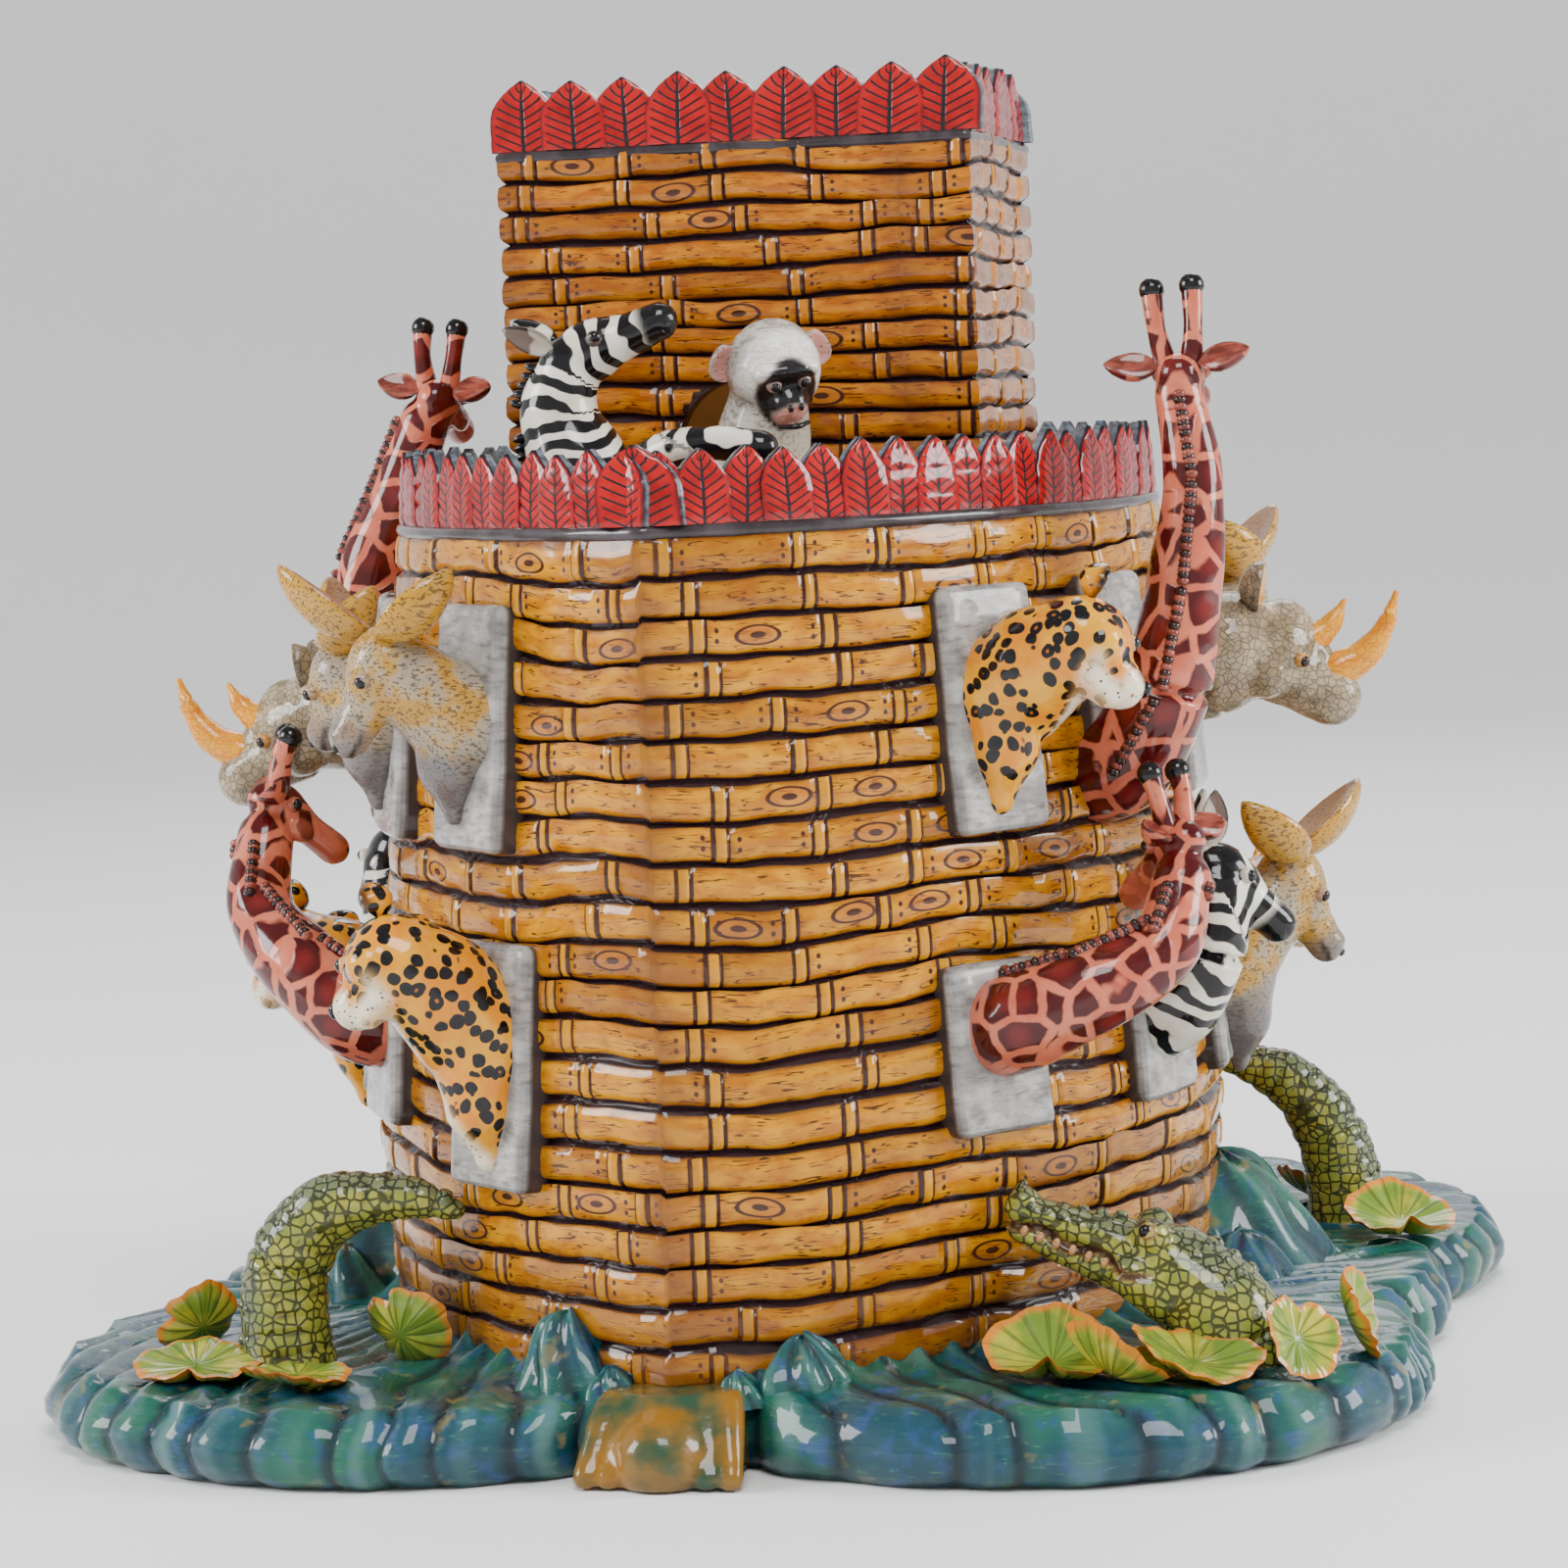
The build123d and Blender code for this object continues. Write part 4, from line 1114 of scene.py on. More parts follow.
# ------------------------------------------------------------ red leaf crowns
def leaf(width, height, seed, thick=6.5):
    """One pointed leaf, a thick clay tongue: across x, up z, front towards -y."""
    rng = random.Random(seed)
    rows, columns = 11, 8
    o = sheet("leaf", 2 * columns + 1, rows)
    co, marks, rims = [], [], []
    lean = rng.uniform(-0.07, 0.07)
    for j in range(rows):
        t = j / (rows - 1)
        point = max(0.0, (t - 0.42) / 0.58)
        half = width / 2 * (1 - point**2.1) + width * 0.02
        for i in range(2 * columns + 1):
            a = 2 * math.pi * i / (2 * columns)
            x = math.cos(a)
            x = math.copysign(abs(x) ** 0.8, x)
            front = math.sin(a) < 0
            bulge = thick / 2 * (abs(math.sin(a)) ** 0.35) * (1 - 0.5 * t * t)
            y = -bulge if front else bulge
            if front:
                y += 0.6 * (1 - min(1.0, abs(x) / 0.1)) + 0.25 * math.sin(abs(x) * 3 + t * 24)
            co.append((x * half + lean * t * height, y, t * height))
            flat = front and abs(math.cos(a)) < 0.99
            marks.append((x, t, 1.0 if flat else 0.0))
            rims.append(max(0.0, abs(x) * 2.2 - 1.35) if j < rows - 1 else 1.0)
    move_points(o, np.array(co) * MM)
    mark_vector(o, "leaf", marks)
    mark(o, "rim", rims)
    return o


def leaf_row(name, places, width, height, seed, thick=6.5):
    """Leaves side by side. Each place gives a point on the foot's middle line, the way out and a size."""
    rng, made = random.Random(seed), []
    for k, (point, out, size) in enumerate(places):
        tall = height * size * rng.uniform(0.94, 1.02)
        o = leaf(width * size * 1.3, tall, seed * 100 + k, thick)
        across = out.cross(UP) * -1
        tip = rng.uniform(-0.4, 1.2) * 0.04
        base = np.array([across, -out, UP])
        co = points_of(o)
        co[:, 1] -= co[:, 2] * tip + (0.8 * MM if k % 2 else 0)
        move_points(o, co @ base + np.array(point))
        made.append(o)
    o = joined(name, made)
    weld(o)
    return o


def rim_row(port):
    found = []
    for k in range(36):
        t = (k + 0.5) / 36
        share = t / 2 + (0.5 if port else 0)
        point, out = hull_place(share, HULL_RIM)
        found.append((point - out * 3.2 * MM, out, 1.0))
    return found


def cabin_row(axis, sign, count, length, face):
    found = []
    for k in range(count):
        along = (-length / 2 + (k + 0.5) * length / count) * MM
        inner = (face - 4.0) * MM * sign
        point = Vector((along, inner, cabin_high.z)) if axis == "y" else Vector((inner, along, cabin_high.z))
        out = Vector((0, sign, 0)) if axis == "y" else Vector((sign, 0, 0))
        size = 1.06 if axis == "y" and sign < 0 and k == count - 1 else 1.0
        found.append((point, out, size))
    return found


def coil(name, place_at, around, high, thick=4 * MM, proud=1.6 * MM, back=1 * MM):
    """A flattened clay coil laid round the wall, with its top at high."""
    low = high - thick
    profile = [(-back, low), (proud * 0.2, low), (proud * 0.8, low + 0.8 * MM), (proud, (low + high) / 2),
               (proud * 0.8, high - 0.8 * MM), (proud * 0.2, high), (-back, high), (-back, low)]
    o = sheet(name, around + 1, len(profile))
    co = []
    for out, z in profile:
        for i in range(around + 1):
            share = i / around % 1
            point, way = place_at(share, (low + high) / 2)
            proud_here = out + 0.25 * MM * ripple(share * 60, z * 90)
            rise = z - point.z + 0.3 * MM * ripple(share * 30, 3.0)
            co.append(point + way * proud_here + UP * rise)
    move_points(o, co)
    weld(o)
    return o


def cabin_place(share, z):
    """A point on the cabin's outside: bow wall first, then starboard, stern and port."""
    half_x, half_y = cabin_high.x, cabin_high.y
    around = (2 * half_x, 2 * half_y, 2 * half_x, 2 * half_y)
    at = share * sum(around)
    corners = ((-half_x, -half_y), (half_x, -half_y), (half_x, half_y), (-half_x, half_y))
    ways = ((1, 0), (0, 1), (-1, 0), (0, -1))
    for k in range(4):
        if at < around[k] or k == 3:
            break
        at -= around[k]
    x, y = corners[k][0] + ways[k][0] * at, corners[k][1] + ways[k][1] * at
    out = Vector((ways[k][1], -ways[k][0], 0))
    near = min(at, around[k] - at)
    if near < 0.6 * MM:
        out = Vector((math.copysign(1, x), math.copysign(1, y), 0))
    return Vector((x, y, z)), out


ARCH_HALF, ARCH_SPRING = 20.5, 27.5  # half the doorway's width, and where its round head starts


def cabin_timber():
    o = lay_timber("cabin_planks", 500, CABIN_COURSES, cabin_low.z, cabin_high.z - 1 * MM, cabin_place,
                   0.5, 7 * MM, 23, 4)
    deselect()
    bpy.ops.mesh.primitive_cylinder_add(vertices=40, radius=ARCH_HALF * MM, depth=30 * MM)
    cutter = named("arch_cutter")
    spring = Matrix.Translation((0, cabin_low.y, cabin_low.z + ARCH_SPRING * MM))
    cutter.data.transform(spring @ Matrix.Rotation(math.pi / 2, 4, "X"))
    bpy.ops.mesh.primitive_cube_add(size=1)
    foot = named("arch_foot")
    middle = Matrix.Translation((0, cabin_low.y, cabin_low.z + 12.5 * MM))
    foot.data.transform(middle @ Matrix.Diagonal((2 * ARCH_HALF * MM, 29 * MM, 30 * MM, 1)))
    for tool in (cutter, foot):
        pick(o)
        cut = o.modifiers.new("arch", "BOOLEAN")
        cut.operation, cut.object, cut.solver = "DIFFERENCE", tool, "EXACT"
        bpy.ops.object.modifier_apply(modifier=cut.name)
        pick(tool)
        bpy.ops.object.delete()
    # painted shade: the doorway's cut edge is marked as a recess, so the timber glaze paints it near black
    co = points_of(o) / MM
    z = co[:, 2] - cabin_low.z / MM
    arch = np.where(z < ARCH_SPRING, np.abs(co[:, 0]), np.hypot(co[:, 0], z - ARCH_SPRING)) - ARCH_HALF
    near = (co[:, 1] < -40) & (arch < 1.2)
    recess = np.empty(len(co), np.float32)
    o.data.attributes["recess"].data.foreach_get("value", recess)
    mark(o, "recess", np.where(near, 1.0, recess))
    return o


# ------------------------------------------------------------ water, crocodiles and lily pads
WATER_THICK = 22
UNDER_HULL = -1  # the slab's last row, which the hull covers
LOBES = [(-95, -105, 118), (95, 105, 118), (90, -97, 116), (-90, 97, 116), (105, 10, 98), (-105, -10, 98)]


def lobe_reach(a):
    """How far the slab reaches that way from the middle."""
    best = 0
    for x, y, r in LOBES:
        along = x * math.cos(a) + y * math.sin(a)
        aside = x * math.sin(a) - y * math.cos(a)
        if abs(aside) < r:
            best = max(best, along + math.sqrt(r * r - aside * aside))
    return best


def rib_at(x, y):
    """Curved ribs like those of a leaf, fanning over the lobe a point lies in: ridge height, share in."""
    best, found = -1e9, 0
    for k, (cx, cy, r) in enumerate(LOBES):
        inside = (r - math.hypot(x - cx, y - cy)) / r
        if inside > best:
            best, found = inside, k
    cx, cy, r = LOBES[found]
    root = (cx * 0.25, cy * 0.25)
    dx, dy = x - root[0], y - root[1]
    far = math.hypot(dx, dy)
    a = math.atan2(dy, dx) + 0.0035 * far * (1 if found % 2 else -1) + 0.1 * ripple(x * 0.02, y * 0.02, 4.0)
    wave = abs(math.sin(a * 31 + 1.6 * ripple(x * 0.013, y * 0.013, 9.0)))
    return wave**0.7 * (0.85 + 0.3 * ripple(x * 0.07, y * 0.07, 6.0)), max(0.0, best)


def water_top(x, y):
    """The water's height at a point in from the edge, and how far up a rib it is."""
    ridge, inside = rib_at(x, y)
    edge = float(fade(np.array(inside), 0.0, 0.16))
    hull_gap = hull_distance(x, y)
    climb = math.exp(-max(0.0, hull_gap) / 7.0)
    relief = 5.0 * (1 - 0.4 * edge) * (ridge - 0.7)
    high = WATER_THICK - 2.0 * (1 - edge) ** 2
    high += relief * (0.5 + 0.5 * float(fade(np.array(hull_gap), 2, 30)))
    swell = 5 * max(0.0, ripple(x * 0.06, y * 0.06, 7.0)) + 2.2 * math.sin(math.atan2(y, x) * 90)
    high += climb * (5 + swell)
    return high + 1.2 * ripple(x * 0.035, y * 0.035, 3.0), ridge


def water_slab():
    """The lobed slab. Each row is a share of the reach and a height, or None on the ribbed top."""
    around = 1100
    rows = [(0.975, 0.2), (0.992, 3), (1.0, 7), (1.0, 11), (0.992, 15), (0.98, 18)]
    rows += [(0.968 - 0.41 * (k / 33), None) for k in range(34)]
    rows.append((0.5, UNDER_HULL))
    o = sheet("water", around + 1, len(rows))
    co, ridges = [], []
    for out, z in rows:
        for i in range(around + 1):
            a = 2 * math.pi * (i % around) / around
            reach = lobe_reach(a)
            x, y = reach * math.cos(a), reach * math.sin(a)
            ridge, _ = rib_at(x * 0.97, y * 0.97)
            level = WATER_THICK if z is None else z
            scallop = 4.4 * (ridge - 0.6) * (0.5 + 0.5 * level / WATER_THICK)
            scallop += 2.0 * ripple(x * 0.05, y * 0.05, level * 0.08)
            shrink = 0.5 if z is None else 0.5 + 1.6 * ripple(x * 0.07, y * 0.07, z * 0.12)
            r = reach * out - shrink + scallop
            x, y = r * math.cos(a), r * math.sin(a)
            high = z
            if z is None:
                high, ridge = water_top(x, y)
            elif z == UNDER_HULL:
                high = WATER_THICK - 1
            co.append((x, y, high))
            low = float(fade(np.array(ridge), 0.0, 0.25))
            ridges.append(min(1.0, max(0.0, ridge)) * (0.4 + 0.6 * low))
    move_points(o, np.array(co) * MM)
    mark(o, "ridge", ridges)
    weld(o)
    pick(o)
    bpy.ops.object.mode_set(mode="EDIT")
    bpy.ops.mesh.select_all(action="DESELECT")
    bpy.ops.mesh.select_non_manifold()
    bpy.ops.mesh.fill(use_beauty=False)
    bpy.ops.mesh.select_all(action="SELECT")
    bpy.ops.mesh.normals_make_consistent(inside=False)
    bpy.ops.object.mode_set(mode="OBJECT")
    return o


def hull_distance(x, y):
    """How far a point of the water lies outside the hull, in millimetres."""
    beam = half_beam(HULL_FOOT) / MM
    half = HALF_LENGTH / MM
    radius = (half**2 + beam**2) / (2 * beam)
    centre = beam - radius
    return math.hypot(abs(x) - centre, y) - radius


def splash(name, centre, radius, height, seed, lean=(0, 0)):
    """A rising splash: a ribbed, rounded swell of glaze-heavy water."""
    around, rows = 72, 14
    o = sheet(name, around + 1, rows)
    co, ridges = [], []
    for j in range(rows):
        t = j / (rows - 1)
        for i in range(around + 1):
            a = 2 * math.pi * (i % around) / around
            rib = 0.5 + 0.5 * math.sin(a * 7 + 4.5 * t + seed)
            lump = ripple(math.cos(a) * 1.6, math.sin(a) * 1.6, seed + t * 2)
            r = radius * (1 - t**1.5) * (1 + 0.16 * (rib - 0.5) + 0.25 * lump)
            high = 18 + (height + 2) * math.sin(t * math.pi / 2) ** 1.2 * (1 + 0.12 * lump)
            x, y = centre[0] + r * math.cos(a) + lean[0] * t, centre[1] + r * math.sin(a) + lean[1] * t
            co.append((x, y, high))
            ridges.append(0.25 + 0.7 * rib)
    move_points(o, np.array(co) * MM)
    mark(o, "ridge", ridges)
    weld(o, 0.3 * MM)
    return o


# place, radius, height and seed of each splash at the bow, and beside the hull to starboard
CRESTS = (((-34, -172), 17, 22, 1), ((34, -172), 15, 16, 2), ((-20, -184), 9, 9, 3), ((18, -184), 8, 8, 4))
SWELLS = (((134, 20), 33, 36, 5, (-4, 0)), ((140, -8), 18, 16, 6), ((142, 46), 18, 18, 7))


def keel_foot(fore):
    """The yellow-brown foot under the bow, between the two front lobes."""
    turn = 1 if fore else -1
    lumps = [tube([(0, -176 * turn, 8), (0, -192 * turn, 8), (0, -205 * turn, 7)], [22, 21, 14], name="foot")]
    for k in range(7):
        x = -21 + 7 * k
        root = [(x * 0.55, -176 * turn, 22), (x * 0.8, -196 * turn, 18), (x, -211 * turn, 3)]
        lumps.append(tube(root, [6, 5.5, 4], 12, name="root"))
    o = fuse("keel_foot", lumps, 1.6, 3)
    co = points_of(o)
    co[:, 2] = np.clip(co[:, 2], 0.2 * MM, 24 * MM)
    move_points(o, co)
    return tag(o)


def turned(o):
    """Half a turn about the ship's middle."""
    move_points(o, points_of(o) * np.array([-1, -1, 1]))
    return o


def scutes(line, radii, away, pitch, tall, wide, sides=2):
    """Rows of raised scales along the top of a limb. away(point) is the way its back faces."""
    made = []
    pts = [Vector(p) for p in line]
    for a, b, ra, rb in zip(pts, pts[1:], radii, radii[1:]):
        count = max(1, int((b - a).length / pitch))
        way = (b - a).normalized()
        outward_way = away(a.lerp(b, 0.5))
        up = (outward_way - way * outward_way.dot(way)).normalized()
        across = way.cross(up)
        for i in range(count):
            t = (i + 0.5) / count
            r = ra + (rb - ra) * t
            for s in range(-sides, sides + 1):
                spin = up * math.cos(s * 0.36) + across * math.sin(s * 0.36)
                frame_turn = Matrix((way, way.cross(spin), spin)).transposed()
                height = tall * (1.0 if s % 2 else 0.7)
                scale = ball(a.lerp(b, t) + spin * (r - 0.4), (pitch * 0.42, wide, height), 8, frame_turn)
                made.append(tag(scale, extra=1))
    return made


TAILS = (  # its line, its radii, and the middle of its arch
    ("fore",
     [(-126, -150, 14), (-128, -150, 34), (-126, -150, 52), (-113, -151, 68),
      (-90, -151, 72), (-74, -149, 68)],
     [14, 13, 12.5, 10.5, 6.5, 3.2], (-92, -150, 40)),
    ("aft",
     [(164, 87, 12), (163, 86, 34), (158, 84, 54), (146, 80, 70), (126, 74, 79)],
     [13, 12.5, 11.5, 9, 4.5], (128, 76, 40)),
)


def crocodile_tail(line, radii, middle):
    def away(p):
        return (p - middle).normalized()

    skin = fuse("crocodile_tail", [tube(line, radii, 24, 8)], 1.3, 2)
    co, n = points_of(skin) / MM, normals_of(skin)
    _, along = near_line(co, line)
    rings = np.abs(np.sin(along * math.pi / 6.2))
    move_points(skin, (co + n * (0.9 * (rings**0.5) - 0.5)[:, None]) * MM)
    top = np.array([max(0.0, Vector(m).dot(away(Vector(p)))) for m, p in zip(n, co)])
    tag(skin, along=along, extra=fade(top, 0.45, 0.75), dark=fade(0.22 - rings, 0, 0.2) * 0.8)
    return joined("crocodile_tail", [skin] + scutes(line, radii, away, 6.2, 1.9, 2.4))


def crocodile_back(_):
    return Vector((0.35, 0, 1))


def crocodile_head():
    line = [(160, -136, 14), (150, -134, 34), (136, -131, 46), (112, -131, 54), (88, -134, 66)]
    h = Head((128, -131, 50), (90, -134, 65))
    neck_radii = [17, 16, 14.5]
    skin = fuse("crocodile_head", [
        tube(line[:3], neck_radii, 24, 8),
        ball(h(-2, 0, -1), (16, 14.5, 11), turn=h.matrix()),
        tube([h(6, 0, 2), h(24, 0, 2), h(38, 0, 1)], [11, 7.5, 6.5], squash=0.7),
        tube([h(4, 0, -6), h(22, 0, -6), h(36, 0, -5)], [10.5, 7.5, 6], squash=0.6),
        ball(h(39, 0, 3.5), (5, 6.5, 4.5), turn=h.matrix()),
        ball(h(1, 8.5, 8), 6), ball(h(1, -8.5, 8), 6),
        tube([h(2, 10, -4), h(-8, 12, -8)], [7, 6]), tube([h(2, -10, -4), h(-8, -12, -8)], [7, 6]),
    ], 1.2, 3)
    co, n = points_of(skin) / MM, normals_of(skin)
    to = (co - np.array(h.centre)) @ np.array(h.matrix())
    mouth = fade(1.7 - np.abs(to[:, 2] + 2.6 + 1.2 * np.sin(to[:, 0] * 0.35)), 0, 1.0) * fade(to[:, 0], -4, 0)
    move_points(skin, (co - n * (1.2 * mouth)[:, None]) * MM)
    tag(skin, dark=mouth * 0.9, pale=mouth, extra=fade(n[:, 2], 0.35, 0.8), along=to[:, 0])
    parts = [skin]
    for side in (1, -1):
        parts.append(tag(ball(h(2, 11.5 * side, 9.5), 3.4, 14), pale=0.35, extra=0))
        parts.append(tag(ball(h(3.2, 13.2 * side, 10), (2.1, 1.8, 2.1), 12, h.matrix()), dark=1))
        parts.append(tag(ball(h(41, 3 * side, 7.3), 1.7, 10), dark=0.6))
        for k in range(7):
            knob = h(9 + 4.6 * k, (7.6 - 0.35 * k) * side, 5.2 - 0.25 * k)
            parts.append(tag(ball(knob, (1.8, 1.4, 1.5), 8, h.matrix()), extra=1))
            tooth = h(6 + 5 * k, (9.6 - 0.6 * k) * side, -3.6)
            parts.append(tag(ball(tooth, (1.2, 1.0, 1.8), 8, h.matrix()), pale=1))
    parts += scutes([tuple(h(30, 0, 3)), tuple(h(8, 0, 8))], [2.5, 2.5], crocodile_back, 5, 1.8, 1.6, 1)
    parts += scutes(line[:3], neck_radii, crocodile_back, 6, 2.2, 2.2, 2)
    return joined("crocodile_head", parts)


def lily_pad(centre, radius, height, tilt, turn, seed, fold=0.35):
    """A cupped heart-shaped pad with a wavy rim and a notch."""
    around, rows = 60, 9
    o = sheet("pad", around + 1, rows * 2)
    co, marks = [], []
    for j in range(rows * 2):
        top = j < rows
        t = j / (rows - 1) if top else (2 * rows - 1 - j) / (rows - 1)
        for i in range(around + 1):
            a = 2 * math.pi * (i % around) / around
            notch = 1 - 0.38 * math.exp(-((a - math.pi) / 0.22) ** 2)
            rim = 1 + 0.05 * math.sin(a * 5 + seed) + 0.04 * ripple(math.cos(a) * 2, math.sin(a) * 2, seed)
            r = radius * t * notch * rim
            cup = fold * radius * t**1.8 * (1 + 0.35 * math.sin(2 * a + seed)) + 0.5 * math.cos(a * 12) * t
            thick = 1.5 * math.sqrt(max(0.0, 1 - t**4))
            co.append((r * math.cos(a), r * math.sin(a), cup + (thick if top else -thick)))
            marks.append((a / (2 * math.pi), t, 1.0 if top else 0.6))
    co = np.array(co)
    spin = Matrix.Rotation(turn, 3, "Z") @ Matrix.Rotation(tilt, 3, "X") @ Matrix.Rotation(seed, 3, "Z")
    co = co @ np.array(spin).T + np.array([centre[0], centre[1], 21.5 + height])
    co[:, 2] = np.maximum(co[:, 2], 18.5)
    move_points(o, co * MM)
    mark_vector(o, "pad", marks)
    weld(o)
    return o


PADS = {  # place, radius, height above the water, tilt, turn, cup
    "fore_starboard": [((104, -160), 20, 3, 0.30, 0.3, 0.35), ((124, -172), 17, 4, 0.5, 2.2, 0.45),
                       ((145, -164), 19, 4, 0.28, 1.2, 0.3), ((172, -150), 13, 9, 1.1, 0.9, 0.3),
                       ((186, -124), 14, 11, 1.25, 1.6, 0.3)],
    "fore_port": [((-150, -168), 19, 2, 0.12, 0.4, 0.15), ((-115, -180), 16, 2, 0.12, 2.4, 0.18),
                  ((-160, -135), 13, 9, 1.1, 3.9, 0.3), ((-92, -150), 14, 10, 1.2, 2.9, 0.3)],
    "aft_starboard": [((184, 56), 18, 4, 0.3, 0.6, 0.35), ((150, 122), 15, 3, 0.3, 2.0, 0.35)],
    "aft_port": [((-104, 160), 17, 3, 0.3, 1.0, 0.4), ((-137, 168), 16, 3, 0.3, 2.2, 0.4)],
}


# ------------------------------------------------------------ the two on deck
def make_monkey():
    h = Head((17, -82, 311), (27, -97, 302), 8)
    skin = fuse("monkey", [
        tube([(8, -72, 262), (9, -74, 276), (12, -77, 290), (15, -79, 304)], [21, 18, 14.5, 12]),
        ball(h.centre, (15, 14.5, 15.5), turn=h.matrix()),
        tube([h(5, 0, -4), h(14, 0, -5)], [8.5, 6]),
        ball(h(10, 5, -6), 4), ball(h(10, -5, -6), 4),
        tube([h(12, -7.5, 5), h(14, 0, 6), h(12, 7.5, 5)], [3, 2.6, 3], 12),
        tube([(-6, -72, 262), (-9, -84, 262), (-6, -98, 268)], [9, 7.5, 5.5]),
        tube([(20, -72, 262), (24, -84, 262), (26, -94, 266)], [9, 7.5, 5.5]),
    ], 1.1, 3)
    co = points_of(skin) / MM
    co[:, 2] = np.maximum(co[:, 2], DECK_TOP / MM + 0.2)
    move_points(skin, co * MM)
    to = (co - np.array(h.centre)) @ np.array(h.matrix())
    face = fade(to[:, 0], 4, 6.5) * fade(1.0 - np.hypot(to[:, 1] / 10.2, (to[:, 2] + 2) / 12.0), 0, 0.12)
    band = fade(to[:, 0], 1, 4) * fade(1.45 - np.hypot(to[:, 1] / 10.2, (to[:, 2] + 1) / 11.5), 0, 0.15)
    band = band * (1 - face) * fade(to[:, 2], -6, 0)
    pink = fade(1.0 - np.hypot(to[:, 1] / 6.2, (to[:, 2] + 7.5) / 5.5), 0, 0.25) * fade(to[:, 0], 10, 13)
    tag(skin, dark=face * (1 - pink), pale=band, extra=pink, along=to[:, 2])
    parts = [skin]
    for side in (1, -1):
        parts.append(tag(ball(h(13.2, 4.6 * side, 1.8), 2.5, 14), extra=0.45, dark=0.35))
        parts.append(tag(ball(h(15.0, 4.7 * side, 1.8), 1.5, 12), dark=1))
        parts.append(tag(ball(h(20, 1.7 * side, -3.4), (1.0, 0.9, 1.3), 8, h.matrix()), dark=1))
        parts.append(ear(h(-2, 12 * side, -3), h(-3, 15 * side, 9), 6.5, h.ahead, 3.0, 0.0))
    parts.append(tag(tube([h(18, -4.5, -10), h(20.5, 0, -9.4), h(18, 4.5, -10)], [0.7, 0.9, 0.7], 8), dark=1))
    return joined("monkey", parts)


def make_deck_zebra():
    h = Head((-34, -104, 318), (-12, -104, 330), 12)
    leg = tube([(-34, -106, 266), (-24, -116, 276), (-8, -127, 287), (8, -133, 290), (24, -134, 288)],
               [12, 8.5, 6.2, 5.2, 5.4], 16)
    line = [(-34, -103, 262), (-38, -104, 282), (-44, -104, 300), (-40, -104, 314)]
    mane_way = Vector((-1, -0.15, 0.25))
    return zebra_parts("deck_zebra", line, [19, 15.5, 12, 9.5], h, [leg], mane_way, sunk=False)


# ------------------------------------------------------------ coats for the animals
INK = (0.006, 0.005, 0.006)


def coat(name, base_a, base_b, size=0.1):
    """A coat's paint, with its two brushed base colours and the marks that tag() leaves."""
    p = Paint(name)
    p.skin = p.vector("skin")
    p.dark, p.pale, p.extra = p.parts(p.vector("paint"))
    p.brush = p.group(BRUSHWORK, Vector=p.skin, Size=size)
    p.base = p.mix(p.step(p.brush["Patches"], 0.35, 0.65), base_a, base_b)
    return p


def warped(p, skin, amount, size=0.12):
    n = p.node("ShaderNodeTexNoise")
    p.put(n.inputs["Vector"], skin)
    n.inputs["Scale"].default_value = size
    add = p.node("ShaderNodeVectorMath", operation="MULTIPLY_ADD")
    p.put(add.inputs[0], n.outputs["Color"])
    add.inputs[1].default_value = (amount,) * 3
    p.put(add.inputs[2], skin)
    return add.outputs[0]


def hairs(p, skin, size, low=0.55, high=0.62):
    """Short strokes along the skin."""
    squeeze = p.node("ShaderNodeMapping")
    p.put(squeeze.inputs["Vector"], skin)
    squeeze.inputs["Scale"].default_value = (0.35, 1, 1)
    return p.step(p.noise(squeeze.outputs[0], size, 2.0, 0.6), low, high)


def leopard_coat():
    p = coat("leopard", (0.72, 0.23, 0.002), (0.78, 0.36, 0.012))
    spots = p.cells(warped(p, p.skin, 3.6), 0.22)
    d = spots.outputs["Distance"]
    ring = p.falling(d, 0.44, 0.49)
    heart = p.times(p.falling(d, 0.10, 0.16), p.step(p.parts(spots.outputs["Color"])[0], 0.65, 0.7))
    color = p.mix(p.times(p.pale, 0.95), p.base, (0.82, 0.74, 0.56))
    spot = p.times(ring, p.less(1.0, p.times(p.pale, 0.96)))
    color = p.mix(spot, color, INK)
    color = p.mix(heart, color, (0.35, 0.1, 0.01))
    whisker = p.falling(p.cells(p.skin, 0.5).outputs["Distance"], 0.16, 0.24)
    color = p.mix(p.times(whisker, p.pale), color, (0.05, 0.02, 0.01))
    color = p.mix(p.extra, color, (0.36, 0.24, 0.1))
    color = p.mix(p.dark, color, INK)
    return p.glaze(color, spot, roughness=0.15)


def giraffe_coat():
    p = coat("giraffe", (0.5, 0.11, 0.06), (0.6, 0.17, 0.095))
    edge = p.cells(warped(p, p.skin, 3.0), 0.085, "DISTANCE_TO_EDGE", 0.75).outputs["Distance"]
    patch = p.step(edge, 0.07, 0.12)
    center = p.cells(warped(p, p.skin, 3.0), 0.085, "F1", 0.75).outputs["Distance"]
    paint = p.mix(p.step(center, 0.1, 0.5), (0.15, 0.012, 0.01), (0.06, 0.004, 0.004))
    patch = p.times(patch, p.less(1.0, p.most(p.pale, p.extra)))
    color = p.mix(patch, p.base, paint)
    mane = p.mix(p.step(p.brush["Streaks"], 0.4, 0.6), (0.13, 0.025, 0.018), (0.3, 0.07, 0.045))
    color = p.mix(p.extra, color, mane)
    color = p.mix(p.dark, color, INK)
    return p.glaze(color, patch, roughness=0.15)


